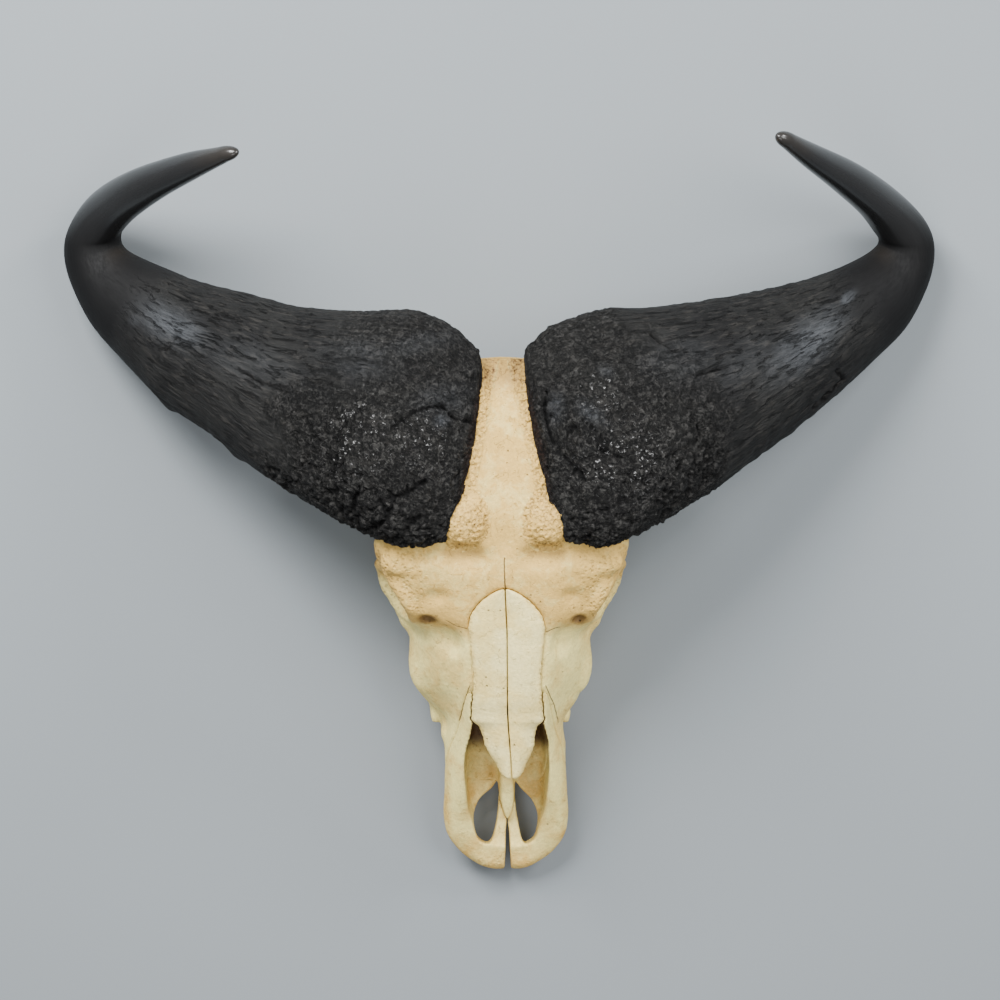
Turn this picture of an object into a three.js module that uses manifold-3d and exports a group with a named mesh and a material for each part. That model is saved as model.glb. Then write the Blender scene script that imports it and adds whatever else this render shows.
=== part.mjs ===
// The cleaned upper skull of a Cape buffalo with its horn sheaths on, as it lies on a table on its
// cheek teeth and the low bends of its horns. There is no lower jaw.
// Millimetres. +Z is up, -Y is towards the nose, and left and right are the animal's own, so its
// left is at +X. The origin is on the table, under the middle of the whole skull.
import * as THREE from "three";
import Module from "manifold-3d";
import { mergeVertices } from "three/addons/utils/BufferGeometryUtils.js";

const wasm = await Module();
wasm.setup();

const GAP = 0.35; // clearance between neighbouring bones, teeth and sheaths
const RING_POINTS = 26; // points round one section of the skull
const HORN_POINTS = 18; // points round one section of a horn
const HIGH = 320; // above everything, for cutting right through

// The skull leans a little to its left and its nose points a little to its left, as bone does.
const LEAN = 0.035; // mm across for each mm of height
const NOSE_DRIFT = 0.019; // mm across for each mm towards the nose
const MIDLINE_AT_ORIGIN = -1.5;

// Half sections of the skull, from the nose to the back of the head, without the nasal bones' overhang:
// place along Y, then the height of the roof's midline, seven points [out, height] down the side,
// and the height of the underside's midline.
const BODY = [
  [-380, 22, 8, 23, 14, 23, 17, 21, 17, 18, 14, 15, 9, 14, 5, 14, 15],
  [-374, 27, 12, 28, 22, 28, 29, 25, 30, 20, 26, 15, 18, 12.5, 9, 12, 13],
  [-360, 33, 20, 34, 36, 35, 47, 31, 48, 24, 42, 16, 29, 12, 14, 11, 13],
  [-342, 42, 26, 43, 46, 45, 59, 38, 61, 28, 53, 18, 37, 13, 18, 13, 16],
  [-320, 54, 28, 55, 49, 57, 63, 46, 65, 33, 57, 21, 41, 15, 20, 16, 20],
  [-295, 72, 30, 73, 49, 74, 62, 57, 64, 40, 57, 26, 42, 19, 22, 20, 26],
  [-265, 96, 31, 96, 47, 92, 60, 71, 63, 50, 57, 33, 46, 24, 28, 24, 32],
  [-238, 118, 33, 116, 44, 107, 56, 84, 63, 58, 64, 42, 60, 29, 40, 26, 37],
  [-218, 132, 34, 129, 43, 118, 54, 92, 62, 66, 65, 46, 67, 26, 46, 23, 39],
  [-196, 143, 35, 139, 45, 127, 60, 100, 76, 76, 79, 53, 75, 25, 50, 21, 41],
  [-180, 150, 35, 146, 48, 134, 68, 107, 85, 80, 87, 58, 78, 24, 50, 21, 42],
  [-165, 156, 35, 152, 51, 140, 74, 113, 90, 84, 90, 61, 80, 24, 50, 21, 42],
  [-140, 165, 36, 162, 55, 149, 77, 122, 90, 94, 90, 66, 81, 24, 50, 21, 43],
  [-123, 171, 38, 167, 58, 153, 79, 128, 89, 100, 89, 70, 80, 24, 49, 21, 44],
  [-108, 177, 40, 175, 64, 168, 86, 153, 95, 108, 93, 78, 78, 26, 48, 22, 45],
  [-85, 185, 44, 184, 80, 175, 103, 156, 103, 118, 96, 86, 74, 34, 46, 28, 48],
  [-55, 194, 50, 194, 96, 185, 123, 166, 114, 134, 88, 100, 58, 70, 28, 58, 60],
  [-42, 197, 51, 197, 100, 188, 131, 168, 112, 138, 76, 103, 52, 74, 25, 64, 64],
  [-25, 200, 52, 201, 100, 190, 126, 172, 98, 142, 63, 106, 44, 80, 22, 70, 68],
  [10, 204, 50, 205, 86, 196, 86, 168, 71, 132, 61, 98, 44, 74, 22, 64, 64],
  [60, 204, 46, 205, 80, 196, 83, 162, 76, 126, 69, 92, 49, 66, 24, 55, 55],
  [110, 200, 42, 201, 74, 190, 91, 158, 95, 116, 89, 85, 61, 57, 30, 49, 51],
  [140, 191, 38, 191, 70, 180, 93, 150, 101, 112, 94, 83, 66, 60, 32, 52, 56],
  [153, 176, 34, 176, 62, 165, 84, 140, 91, 108, 83, 82, 59, 64, 30, 58, 62],
];

// The nasal bones: place along Y, half width, roof height at the midline and at the outer edge.
const NASAL = [
  [-274, 5, 112, 110],
  [-262.5, 12, 116.5, 112.5],
  [-243.5, 20.5, 124, 118],
  [-230, 26, 129, 121],
  [-225.5, 33, 131, 123],
  [-211, 36.3, 137, 132],
  [-170, 34, 155, 151.5],
  [-130, 37, 169.8, 167],
  [-112, 38, 176, 173.5],
  [-99, 33, 180, 178],
  [-88, 23, 184, 182.5],
  [-78, 8, 187, 187],
];
const NASAL_THICK = 6;
const NASAL_PROUD = 1; // how far the nasal bones stand above the roof beside them

// The open nose, from the front: place along Y, floor height, half width of the floor and of the rim.
const NOSTRIL = [
  [-354, 34, 12, 16],
  [-346, 33, 24, 29],
  [-320, 33, 32, 40],
  [-292, 36, 36, 43],
  [-258, 42, 37, 44],
  [-240, 47, 35, 41],
  [-228, 50, 32, 36],
];
// The hollow under the nasal bones: place along Y, floor and roof heights, half width.
const AIRWAY = [
  [-246, 46, 112, 30],
  [-225, 50, 123, 30],
  [-190, 54, 137, 30],
  [-150, 60, 150, 26],
  [-128, 74, 146, 14],
];
// The blade of bone that stands along the nose floor: place along Y, half width, foot and top heights.
const VOMER = [
  [-325, 0.6, 36, 42],
  [-314, 5.5, 35, 46],
  [-298, 7.5, 35, 51],
  [-270, 7.5, 36, 62],
  [-235, 6, 38, 76],
  [-160, 5, 44, 100],
];
// One of the two slots in the palate behind the incisor bones, seen from above, as [out, along].
const PALATE_SLOT = [
  [9.5, -286], [27, -300], [34, -315], [35.5, -331], [31, -344], [22, -351.5], [15, -349], [12, -340], [9.5, -312],
];

// The seam in front of which the incisor bones start: a sloping plane, by a point on it and its slope.
const SEAM = { y: -183, z: 141, slope: 1.05 };
const INCISOR_SLOT = [ // half width of the gap between the incisor bones, along Y
  [-392, 3.2], [-372, 2.6], [-340, 1.6], [-326, 0.5], [-120, 0.5],
];

// The eye socket's rim: its middle on the left side, the radius to the rim's core, the rim's thickness
// and the angle by which it faces forwards.
const ORBIT = { out: 103, along: -80, up: 133, radius: 32, rim: 6.5, forwards: 30, upwards: 11 };

// Teeth of one row, from the front: name, middle [out, along], length along the row and width.
const TEETH = [
  ["premolar_2", 55, -225.5, 13, 12],
  ["premolar_3", 59.5, -209, 18, 16.5],
  ["premolar_4", 63, -190.5, 17.5, 20],
  ["molar_1", 64.5, -169, 24, 24],
  ["molar_2", 65, -141.5, 28, 26],
  ["molar_3", 63, -111.5, 30, 25],
];
const TOOTH_TOP = 36; // the crowns reach this high into their sockets
const TOOTH_POINTS = 12;

// Each horn's sheath, from its base to its tip: the inner and outer edges seen from above
// [x, y, x, y], the height of its centre line and its half thickness.
const HORN_LEFT = [
  [28, 165, 69, -30, 203, 16],
  [56, 187, 102, -36, 194, 38],
  [102, 198, 145, -18, 174, 53],
  [153, 205, 199, 12, 150, 55],
  [206, 214, 249, 47, 127, 52],
  [259, 225, 300, 83, 104, 48],
  [311, 238, 345, 119, 82, 44],
  [353, 254, 389, 157, 60, 40],
  [381.4, 268.3, 426.4, 193.2, 38.5, 36],
  [396, 279, 451, 238, 31.6, 33],
  [398.5, 286.4, 457.6, 275.4, 35.5, 31],
  [391, 295.4, 447.3, 303.5, 46, 28.5],
  [370.9, 313.4, 416.3, 328.5, 73, 25.5],
  [335.4, 334.3, 373.7, 347.4, 116, 21],
  [301.2, 350.5, 327.4, 361.6, 160, 15.5],
  [278, 361.5, 292.1, 372.5, 195, 9],
];
const HORN_RIGHT = [
  [-23, 162, -58, -31, 203, 16],
  [-54, 188, -94, -37, 194, 38],
  [-100, 199, -140, -20, 174, 53],
  [-151, 202, -192, 8, 150, 55],
  [-204, 208, -242, 39, 127, 52],
  [-257, 223, -296, 79, 104, 48],
  [-306, 236, -347, 113, 82, 44],
  [-350, 254, -392, 156, 60, 40],
  [-381.4, 268.3, -429.4, 196.2, 38.5, 36],
  [-396, 278, -454, 243, 31.6, 33],
  [-399.5, 287.4, -459.6, 277.4, 35.5, 31],
  [-394, 298.5, -450.3, 303.5, 46, 28.5],
  [-373, 313.4, -426.4, 325.5, 73, 25.5],
  [-337.4, 328.3, -383.8, 341.4, 116, 21],
  [-296.2, 340.4, -326.4, 354.5, 160, 15.5],
  [-265.9, 348.4, -281, 359.5, 195, 9],
];
const HORN_TIP_REACH = 18.5; // the blunt tip, past the last section
const HORN_BASE_BULGE = 15; // the rounded inner end of the boss
// Knobs on the sheaths: where, how wide and how high.
const HORN_LUMPS = [
  [-284, 68, 100, 15, 7], [-340, 112, 70, 12, 6], [-176, 14, 130, 18, 5], [-120, 60, 225, 34, 5],
  [-70, 20, 225, 26, 4], [-90, 200, 190, 22, 4], [110, 196, 190, 26, 5], [150, 0, 150, 20, 4],
  [90, 70, 232, 34, 4], [214, 30, 125, 16, 4], [150, 120, 200, 30, 3],
];

const COLOURS = {
  bone: new THREE.MeshStandardMaterial({ color: 0xddcda5, roughness: 0.75 }),
  nasal: new THREE.MeshStandardMaterial({ color: 0xe6dcc0, roughness: 0.7 }),
  enamel: new THREE.MeshStandardMaterial({ color: 0xc9b083, roughness: 0.45 }),
  horn: new THREE.MeshStandardMaterial({ color: 0x242220, roughness: 0.5 }),
};

// The values of a table at any place between its rows, on cubics with averaged slopes.
function along(rows, at) {
  const last = rows.length - 1;
  const place = Math.min(Math.max(at, rows[0][0]), rows[last][0]);
  let i = 0;
  while (i < last - 1 && rows[i + 1][0] < place) i += 1;
  const step = rows[i + 1][0] - rows[i][0];
  const u = (place - rows[i][0]) / step;
  const slope = (j, column) => {
    const before = rows[Math.max(j - 1, 0)];
    const after = rows[Math.min(j + 1, last)];
    return (after[column] - before[column]) / (after[0] - before[0]);
  };
  return rows[i].slice(1).map((value, k) => {
    const end = rows[i + 1][k + 1];
    const rise = step * (slope(i, k + 1) * u * (1 - u) ** 2 - slope(i + 1, k + 1) * u * u * (1 - u));
    return value + (end - value) * u * u * (3 - 2 * u) + rise;
  });
}

// A closed skin over rings of equal count, with its two ends closed by fans.
function loft(rings) {
  const count = rings[0].length;
  const points = rings.flat();
  const faces = [];
  for (let r = 0; r < rings.length - 1; r += 1)
    for (let i = 0; i < count; i += 1) {
      const a = r * count + i;
      const b = r * count + ((i + 1) % count);
      faces.push(a, b, b + count, a, b + count, a + count);
    }
  for (const [ring, start] of [[rings[0], 0], [rings.at(-1), points.length - count]]) {
    const middle = ring.reduce((sum, p) => sum.add(p), new THREE.Vector3()).divideScalar(count);
    const centre = points.push(middle) - 1;
    for (let i = 0; i < count; i += 1) {
      const a = start + i;
      const b = start + ((i + 1) % count);
      faces.push(...(start ? [a, b, centre] : [b, a, centre]));
    }
  }
  return new THREE.BufferGeometry().setFromPoints(points).setIndex(faces);
}

// A three.js geometry as a manifold solid, turned the right way out.
function solid(geometry) {
  const bare = geometry.clone();
  bare.deleteAttribute("normal");
  bare.deleteAttribute("uv");
  const merged = mergeVertices(bare, 1e-4);
  const vertProperties = new Float32Array(merged.attributes.position.array);
  const triVerts = new Uint32Array(merged.index.array);
  const made = new wasm.Manifold(new wasm.Mesh({ numProp: 3, vertProperties, triVerts }));
  if (made.volume() > 0) return made;
  const turned = triVerts.map((_, i) => triVerts[i - (i % 3) + [0, 2, 1][i % 3]]);
  return new wasm.Manifold(new wasm.Mesh({ numProp: 3, vertProperties, triVerts: turned }));
}

// A manifold solid back as a geometry, each point moved by the given rule.
function geometry(made, move = (p) => p) {
  const mesh = made.getMesh();
  const points = [];
  for (let i = 0; i < mesh.numVert; i += 1)
    points.push(move(new THREE.Vector3().fromArray(mesh.vertProperties, i * mesh.numProp)));
  const built = new THREE.BufferGeometry().setFromPoints(points);
  built.setIndex([...mesh.triVerts]);
  built.computeVertexNormals();
  return built;
}

const joined = (solids) => solids.reduce((sum, part) => sum.add(part));

// The same solid on both sides of the skull's midline: make is called with +1 for left and -1 for right.
const bothSides = (make) => make(1).add(make(-1));

// Rings pushed outwards in their own X-Z plane, to leave a gap round what they stand for.
function grown(ring, by) {
  if (!by) return ring;
  return ring.map((p, i) => {
    const before = ring.at(i - 1);
    const after = ring[(i + 1) % ring.length];
    const out = new THREE.Vector3(after.z - before.z, 0, before.x - after.x).normalize();
    return p.clone().addScaledVector(out, -by);
  });
}

// One section of the skull: a closed curve through the half section and its mirror image.
function bodyRing(y, grow) {
  const row = along(BODY, y);
  const half = [[0, row[0]]];
  for (let i = 1; i < 15; i += 2) half.push([row[i], row[i + 1]]);
  half.push([0, row[15]]);
  const back = half.slice(1, -1).reverse().map(([out, up]) => [-out, up]);
  const keys = [...half, ...back].map(([out, up]) => new THREE.Vector3(out, y, up));
  const curve = new THREE.CatmullRomCurve3(keys, true, "catmullrom", 0.5);
  return grown(Array.from({ length: RING_POINTS }, (_, i) => curve.getPoint(i / RING_POINTS)), grow);
}

function bodySolid(grow) {
  const places = BODY.flatMap(([y], i) => {
    const next = BODY[i + 1]?.[0];
    return next - y > 28 ? [y, (y + next) / 2] : [y];
  });
  return solid(loft(places.map((y) => bodyRing(y, grow))));
}

// A rod of changing oval section through stations [x, y, z, half width, half height].
function rod(stations, sides = 14, grow = 0) {
  const centres = stations.map((s) => new THREE.Vector3(s[0], s[1], s[2]));
  const curve = new THREE.CatmullRomCurve3(centres, false, "catmullrom", 0.5);
  const up = new THREE.Vector3(0, 0, 1);
  return solid(loft(stations.map(([, , , wide, high], i) => {
    const tangent = curve.getTangent(i / (stations.length - 1));
    const aside = new THREE.Vector3().crossVectors(tangent, up).normalize();
    const above = new THREE.Vector3().crossVectors(aside, tangent);
    return Array.from({ length: sides }, (_, k) => {
      const turn = (k / sides) * 2 * Math.PI;
      return centres[i].clone()
        .addScaledVector(aside, (wide + grow) * Math.cos(turn))
        .addScaledVector(above, (high + grow) * Math.sin(turn));
    });
  })));
}

// An egg with its three radii along X, Y and Z, turned about Z and then moved.
function egg([x, y, z], [rx, ry, rz], turn = 0, around = 12) {
  const shape = new THREE.SphereGeometry(1, around, Math.round(around * 0.6));
  shape.scale(rx, ry, rz).rotateZ(THREE.MathUtils.degToRad(turn)).translate(x, y, z);
  return solid(shape);
}

// A flat outline in X-Y, raised from one height to another.
function column(outline, low, high) {
  const shape = new THREE.Shape(outline.map(([x, y]) => new THREE.Vector2(x, y)));
  return solid(new THREE.ExtrudeGeometry(shape, { depth: high - low, bevelEnabled: false })
    .translate(0, 0, low));
}

// The horn cores, the brow knobs, the eye rims, the cheek arches and all else that stands out of the skull.
function hornCore(side, grow) {
  return rod([
    [side * 45, 62, 172, 84, 24], [side * 95, 74, 170, 90, 38], [side * 130, 86, 164, 86, 43],
    [side * 170, 102, 150, 76, 41], [side * 205, 116, 138, 58, 34], [side * 226, 124, 130, 34, 22],
  ], 14, grow);
}

function browKnob(side, grow) {
  return egg([side * 41, -8, 192], [27 + grow, 30 + grow, 20 + grow]);
}

function eyeRim(side, grow) {
  const ring = new THREE.TorusGeometry(ORBIT.radius, ORBIT.rim + grow, 7, 18);
  ring.scale(1, 1, 1.25).rotateY(Math.PI / 2);
  ring.rotateY(THREE.MathUtils.degToRad(-side * ORBIT.upwards));
  ring.rotateZ(THREE.MathUtils.degToRad(-side * ORBIT.forwards));
  return solid(ring.translate(side * ORBIT.out, ORBIT.along, ORBIT.up));
}

function cheekArch(side, grow) {
  return rod([
    [side * 80, -140, 84, 5, 8], [side * 97, -108, 90, 9, 13], [side * 111, -74, 98, 8, 12],
    [side * 118, -38, 104, 7, 11], [side * 116, 0, 106, 6, 10], [side * 109, 40, 107, 7, 10],
    [side * 97, 78, 106, 10, 12], [side * 74, 100, 104, 12, 14],
  ], 10, grow);
}

function faceRidge(side) {
  return egg([side * 83, -156, 80], [11, 28, 12]);
}

function underside(side) {
  return joined([
    egg([side * 30, 140, 68], [20, 20, 19], side * 25, 14), // condyle
    rod([[side * 70, 132, 84, 12, 14], [side * 67, 128, 52, 7, 11], [side * 62, 122, 22, 4, 6]], 10),
    egg([side * 44, 98, 50], [13, 19, 17]), // ear bulla
    rod([[side * 22, 22, 72, 4, 8], [side * 23, -18, 66, 4, 18], [side * 25, -58, 62, 4, 20],
      [side * 27, -92, 58, 5, 12]], 10), // pterygoid plate
  ]);
}

// All the bone outside the nose, grown by a clearance where it is used as a cutter.
function boneMass(grow) {
  return joined([
    bodySolid(grow),
    ...[1, -1].flatMap((side) => [
      hornCore(side, grow), browKnob(side, grow), eyeRim(side, grow), cheekArch(side, grow),
    ]),
  ]);
}

function nasalBone(side, grow) {
  const inner = grow ? -1 : GAP;
  const places = NASAL.map((row) => row[0]);
  const rings = places.map((y, i) => {
    const [width, middle, edge] = along(NASAL, y);
    const shift = i === 0 ? -grow : i === places.length - 1 ? grow : 0;
    const top = NASAL_PROUD + grow * 20;
    const under = NASAL_THICK + grow;
    const out = Math.max(width + grow, 4);
    return [
      [inner, middle + top], [out * 0.5, middle * 0.6 + edge * 0.4 + top + 2.5],
      [out * 0.85, middle * 0.15 + edge * 0.85 + top + 1], [out, edge + top - 2], [out, edge - under + 1],
      [out * 0.85, edge - under], [out * 0.5, middle * 0.5 + edge * 0.5 - under], [inner, middle - under],
    ].map(([x, z]) => new THREE.Vector3(side * x, y + shift, z));
  });
  return solid(loft(rings));
}

function nostrils() {
  const channel = solid(loft(NOSTRIL.map(([y, floor, foot, rim]) => [
    [-rim, HIGH], [-rim, floor + 26], [-rim + 3, floor + 10], [-foot, floor],
    [foot, floor], [rim - 3, floor + 10], [rim, floor + 26], [rim, HIGH],
  ].map(([x, z]) => new THREE.Vector3(x, y, z)))));
  const hollow = solid(loft(AIRWAY.map(([y, low, high, half]) => [
    [-half * 0.9, high], [-half, (low + high) / 2], [-half * 0.7, low],
    [half * 0.7, low], [half, (low + high) / 2], [half * 0.9, high],
  ].map(([x, z]) => new THREE.Vector3(x, y, z)))));
  const slots = bothSides((side) => column(PALATE_SLOT.map(([out, y]) => [side * out, y]), -5, 60));
  return joined([channel, hollow, slots]);
}

function vomer(grow) {
  return solid(loft(VOMER.map(([y, half, foot, top], i) => {
    const at = y - (i === 0 ? grow : 0);
    const wide = half + grow;
    return [[-wide, foot - grow], [wide, foot - grow], [wide * 0.8, top + grow], [-wide * 0.8, top + grow]]
      .map(([x, z]) => new THREE.Vector3(x, at, z));
  })));
}

// Everything in front of and above the sloping seam; back moves the seam towards the nose.
function beforeSeam(back) {
  const at = (z) => SEAM.y + (z - SEAM.z) / SEAM.slope - back;
  const side = new THREE.Shape([[at(-10), -10], [at(HIGH), HIGH], [-500, HIGH], [-500, -10]]
    .map(([y, z]) => new THREE.Vector2(y, z)));
  const wide = 220;
  const block = new THREE.ExtrudeGeometry(side, { depth: wide, bevelEnabled: false });
  const basis = new THREE.Matrix4().makeBasis(
    new THREE.Vector3(0, 1, 0), new THREE.Vector3(0, 0, 1), new THREE.Vector3(1, 0, 0));
  return solid(block.translate(0, 0, -wide / 2).applyMatrix4(basis));
}

function incisorSlot() {
  const left = INCISOR_SLOT.map(([y, half]) => [half, y]);
  const right = INCISOR_SLOT.map(([y, half]) => [-half, y]).reverse();
  return column([...left, ...right], -10, HIGH);
}

// A cheek tooth's outline: an oval squared off, with three ribs on its outer side.
function toothOutline(long, wide, grow, side) {
  return Array.from({ length: TOOTH_POINTS }, (_, i) => {
    const turn = (i / TOOTH_POINTS) * 2 * Math.PI;
    const square = (v) => Math.sign(v) * Math.abs(v) ** 0.62;
    const rib = Math.cos(turn) > 0.2 ? 0.05 * Math.cos(turn * 7) : 0;
    const out = (wide / 2 + grow) * square(Math.cos(turn)) * (1 + rib);
    return [side * out, (long / 2 + grow) * square(Math.sin(turn))];
  });
}

function tooth([, out, y, long, wide], side, grow = 0) {
  const outline = toothOutline(long, wide, grow, side).map(([x, v]) => [side * out + x, y + v]);
  return column(outline, grow ? -5 : 0, TOOTH_TOP + grow);
}

// The skull without its loose bones: the mass less what is open in it.
function craniumSolid() {
  const open = joined([
    nostrils(), beforeSeam(0),
    bothSides((side) => nasalBone(side, GAP)),
    bothSides((side) => egg([side * 80, -67, 135], [58, 30, 30], -side * ORBIT.forwards, 16)),
    bothSides((side) => egg([side * 76, -108, 161], [8, 5, 9], 0, 8)), // brow pits
    egg([0, 168, 74], [17, 60, 16]), // hole for the spinal cord
    egg([0, -40, 46], [17, 50, 26]), // back of the airway
    ...TEETH.map((row) => bothSides((side) => tooth(row, side, GAP))),
  ]);
  const ridges = [1, -1].flatMap((side) => [faceRidge(side), underside(side)]);
  return joined([boneMass(0), ...ridges]).subtract(open).add(vomer(0));
}

function incisorBones() {
  const open = joined([nostrils(), incisorSlot(), vomer(GAP), bothSides((side) => nasalBone(side, GAP))]);
  const bones = bodySolid(0).intersect(beforeSeam(GAP)).subtract(open).decompose();
  const big = bones.filter((bone) => bone.volume() > 2000);
  const middle = (bone) => bone.boundingBox().max[0] + bone.boundingBox().min[0];
  return { left: big.find((bone) => middle(bone) > 0), right: big.find((bone) => middle(bone) < 0) };
}

// One section of a horn: an oval between its two edges, thick across them, squarer at the base.
function hornRing({ centre, across, above, half, thick, power }) {
  const square = (v) => Math.sign(v) * Math.abs(v) ** power;
  return Array.from({ length: HORN_POINTS }, (_, i) => {
    const turn = (i / HORN_POINTS) * 2 * Math.PI;
    return centre.clone()
      .addScaledVector(across, half * square(Math.cos(turn)))
      .addScaledVector(above, thick * square(Math.sin(turn)));
  });
}

function raiseLumps(point, centre) {
  const out = point.clone().sub(centre).normalize();
  for (const [x, y, z, wide, high] of HORN_LUMPS) {
    const away = point.distanceTo(new THREE.Vector3(x, y, z)) / wide;
    point.addScaledVector(out, high * Math.exp(-away * away));
  }
  return point;
}

// The outside of a whole horn, with a rounded inner end and a blunt tip.
function hornShape(rows) {
  const numbered = rows.map((row, i) => [i, ...row]);
  const last = rows.length - 1;
  const station = (t) => {
    const [ax, ay, bx, by, z, thick] = along(numbered, t);
    const inner = new THREE.Vector3(ax, ay, z);
    const outer = new THREE.Vector3(bx, by, z);
    return { centre: inner.clone().lerp(outer, 0.5), outer, inner, thick };
  };
  const frame = (t) => {
    const { centre, inner, outer, thick } = station(t);
    const ahead = station(Math.min(t + 0.5, last)).centre;
    const behind = station(Math.max(t - 0.5, 0)).centre;
    const path = ahead.sub(behind).normalize();
    const across = outer.clone().sub(inner).normalize();
    const above = new THREE.Vector3().crossVectors(across, path).normalize();
    const power = THREE.MathUtils.lerp(0.74, 1, Math.min(t / 5, 1));
    return { centre, path, across, above, half: outer.distanceTo(inner) / 2, thick, power };
  };
  const cap = (t, reach, shares) => shares.map((share) => {
    const f = frame(t);
    const size = Math.sqrt(1 - share * share);
    const centre = f.centre.clone().addScaledVector(f.path, reach * share);
    return hornRing({ ...f, centre, half: f.half * size, thick: f.thick * size });
  });
  const places = [];
  for (let t = 0; t <= last; t += t < 2 || (t >= 8 && t < 12) ? 0.5 : 1) places.push(t);
  const body = places.map((t) => {
    const f = frame(t);
    return hornRing(f).map((p) => raiseLumps(p, f.centre)).map((p) => p.setZ(Math.max(p.z, 0)));
  });
  return solid(loft([
    ...cap(0, -HORN_BASE_BULGE, [0.97, 0.75, 0.4]), ...body, ...cap(last, HORN_TIP_REACH, [0.6, 0.93]),
  ]));
}

const lean = (p) => p.setX(p.x + LEAN * p.z - NOSE_DRIFT * p.y + MIDLINE_AT_ORIGIN);
const skull = new THREE.Group();

function place(name, shape, material) {
  const mesh = new THREE.Mesh(shape, material);
  mesh.name = name;
  skull.add(mesh);
}

place("cranium", geometry(craniumSolid(), lean), COLOURS.bone);

const incisors = incisorBones();
for (const [side, word] of [[1, "left"], [-1, "right"]]) {
  place(`nasal_bone_${word}`, geometry(nasalBone(side, 0), lean), COLOURS.nasal);
  place(`incisor_bone_${word}`, geometry(incisors[word], lean), COLOURS.bone);
  for (const row of TEETH) place(`${row[0]}_${word}`, geometry(tooth(row, side), lean), COLOURS.enamel);
}

// The sheaths fit over the cores, so the leaning bone is cut out of them with a clearance.
const coreSpace = solid(geometry(boneMass(GAP), lean));
for (const [word, rows] of [["left", HORN_LEFT], ["right", HORN_RIGHT]]) {
  const sheath = hornShape(rows).subtract(coreSpace).decompose();
  sheath.sort((a, b) => b.volume() - a.volume());
  place(`horn_sheath_${word}`, geometry(sheath[0]), COLOURS.horn);
}

// The box round the whole skull ends up centred over the origin.
const middle = new THREE.Box3().setFromObject(skull, true).getCenter(new THREE.Vector3());
for (const mesh of skull.children) mesh.geometry.translate(-middle.x, -middle.y, 0);

export default skull;
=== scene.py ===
import math

import bpy
import numpy as np
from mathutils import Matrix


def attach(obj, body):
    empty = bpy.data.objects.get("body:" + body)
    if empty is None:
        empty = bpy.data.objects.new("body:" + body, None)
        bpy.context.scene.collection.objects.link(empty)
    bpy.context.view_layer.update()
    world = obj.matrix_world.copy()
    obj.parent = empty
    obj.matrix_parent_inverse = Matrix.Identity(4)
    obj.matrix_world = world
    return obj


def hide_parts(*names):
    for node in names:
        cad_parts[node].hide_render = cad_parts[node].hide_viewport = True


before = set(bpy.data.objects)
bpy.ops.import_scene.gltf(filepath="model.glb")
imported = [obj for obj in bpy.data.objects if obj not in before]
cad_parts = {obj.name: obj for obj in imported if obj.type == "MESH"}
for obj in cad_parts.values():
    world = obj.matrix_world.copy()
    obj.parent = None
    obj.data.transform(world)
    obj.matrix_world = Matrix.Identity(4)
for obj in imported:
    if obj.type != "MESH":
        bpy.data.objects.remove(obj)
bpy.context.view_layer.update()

bl_info = {
    "name": "Cape buffalo skull",
    "version": (1, 0, 0),
    "blender": (4, 5, 0),
    "location": "3D View > Sidebar > Skull",
    "description": "Builds a horned skull from bones, teeth and horn sheaths",
    "category": "Add Mesh",
}

MM = 0.001
SHIFT = np.array([1.0, 1.886, 0.0])  # centres the whole skull over the origin
LEAN = 0.035
NOSE_DRIFT = 0.019
MIDLINE_AT_ORIGIN = -1.5

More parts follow.
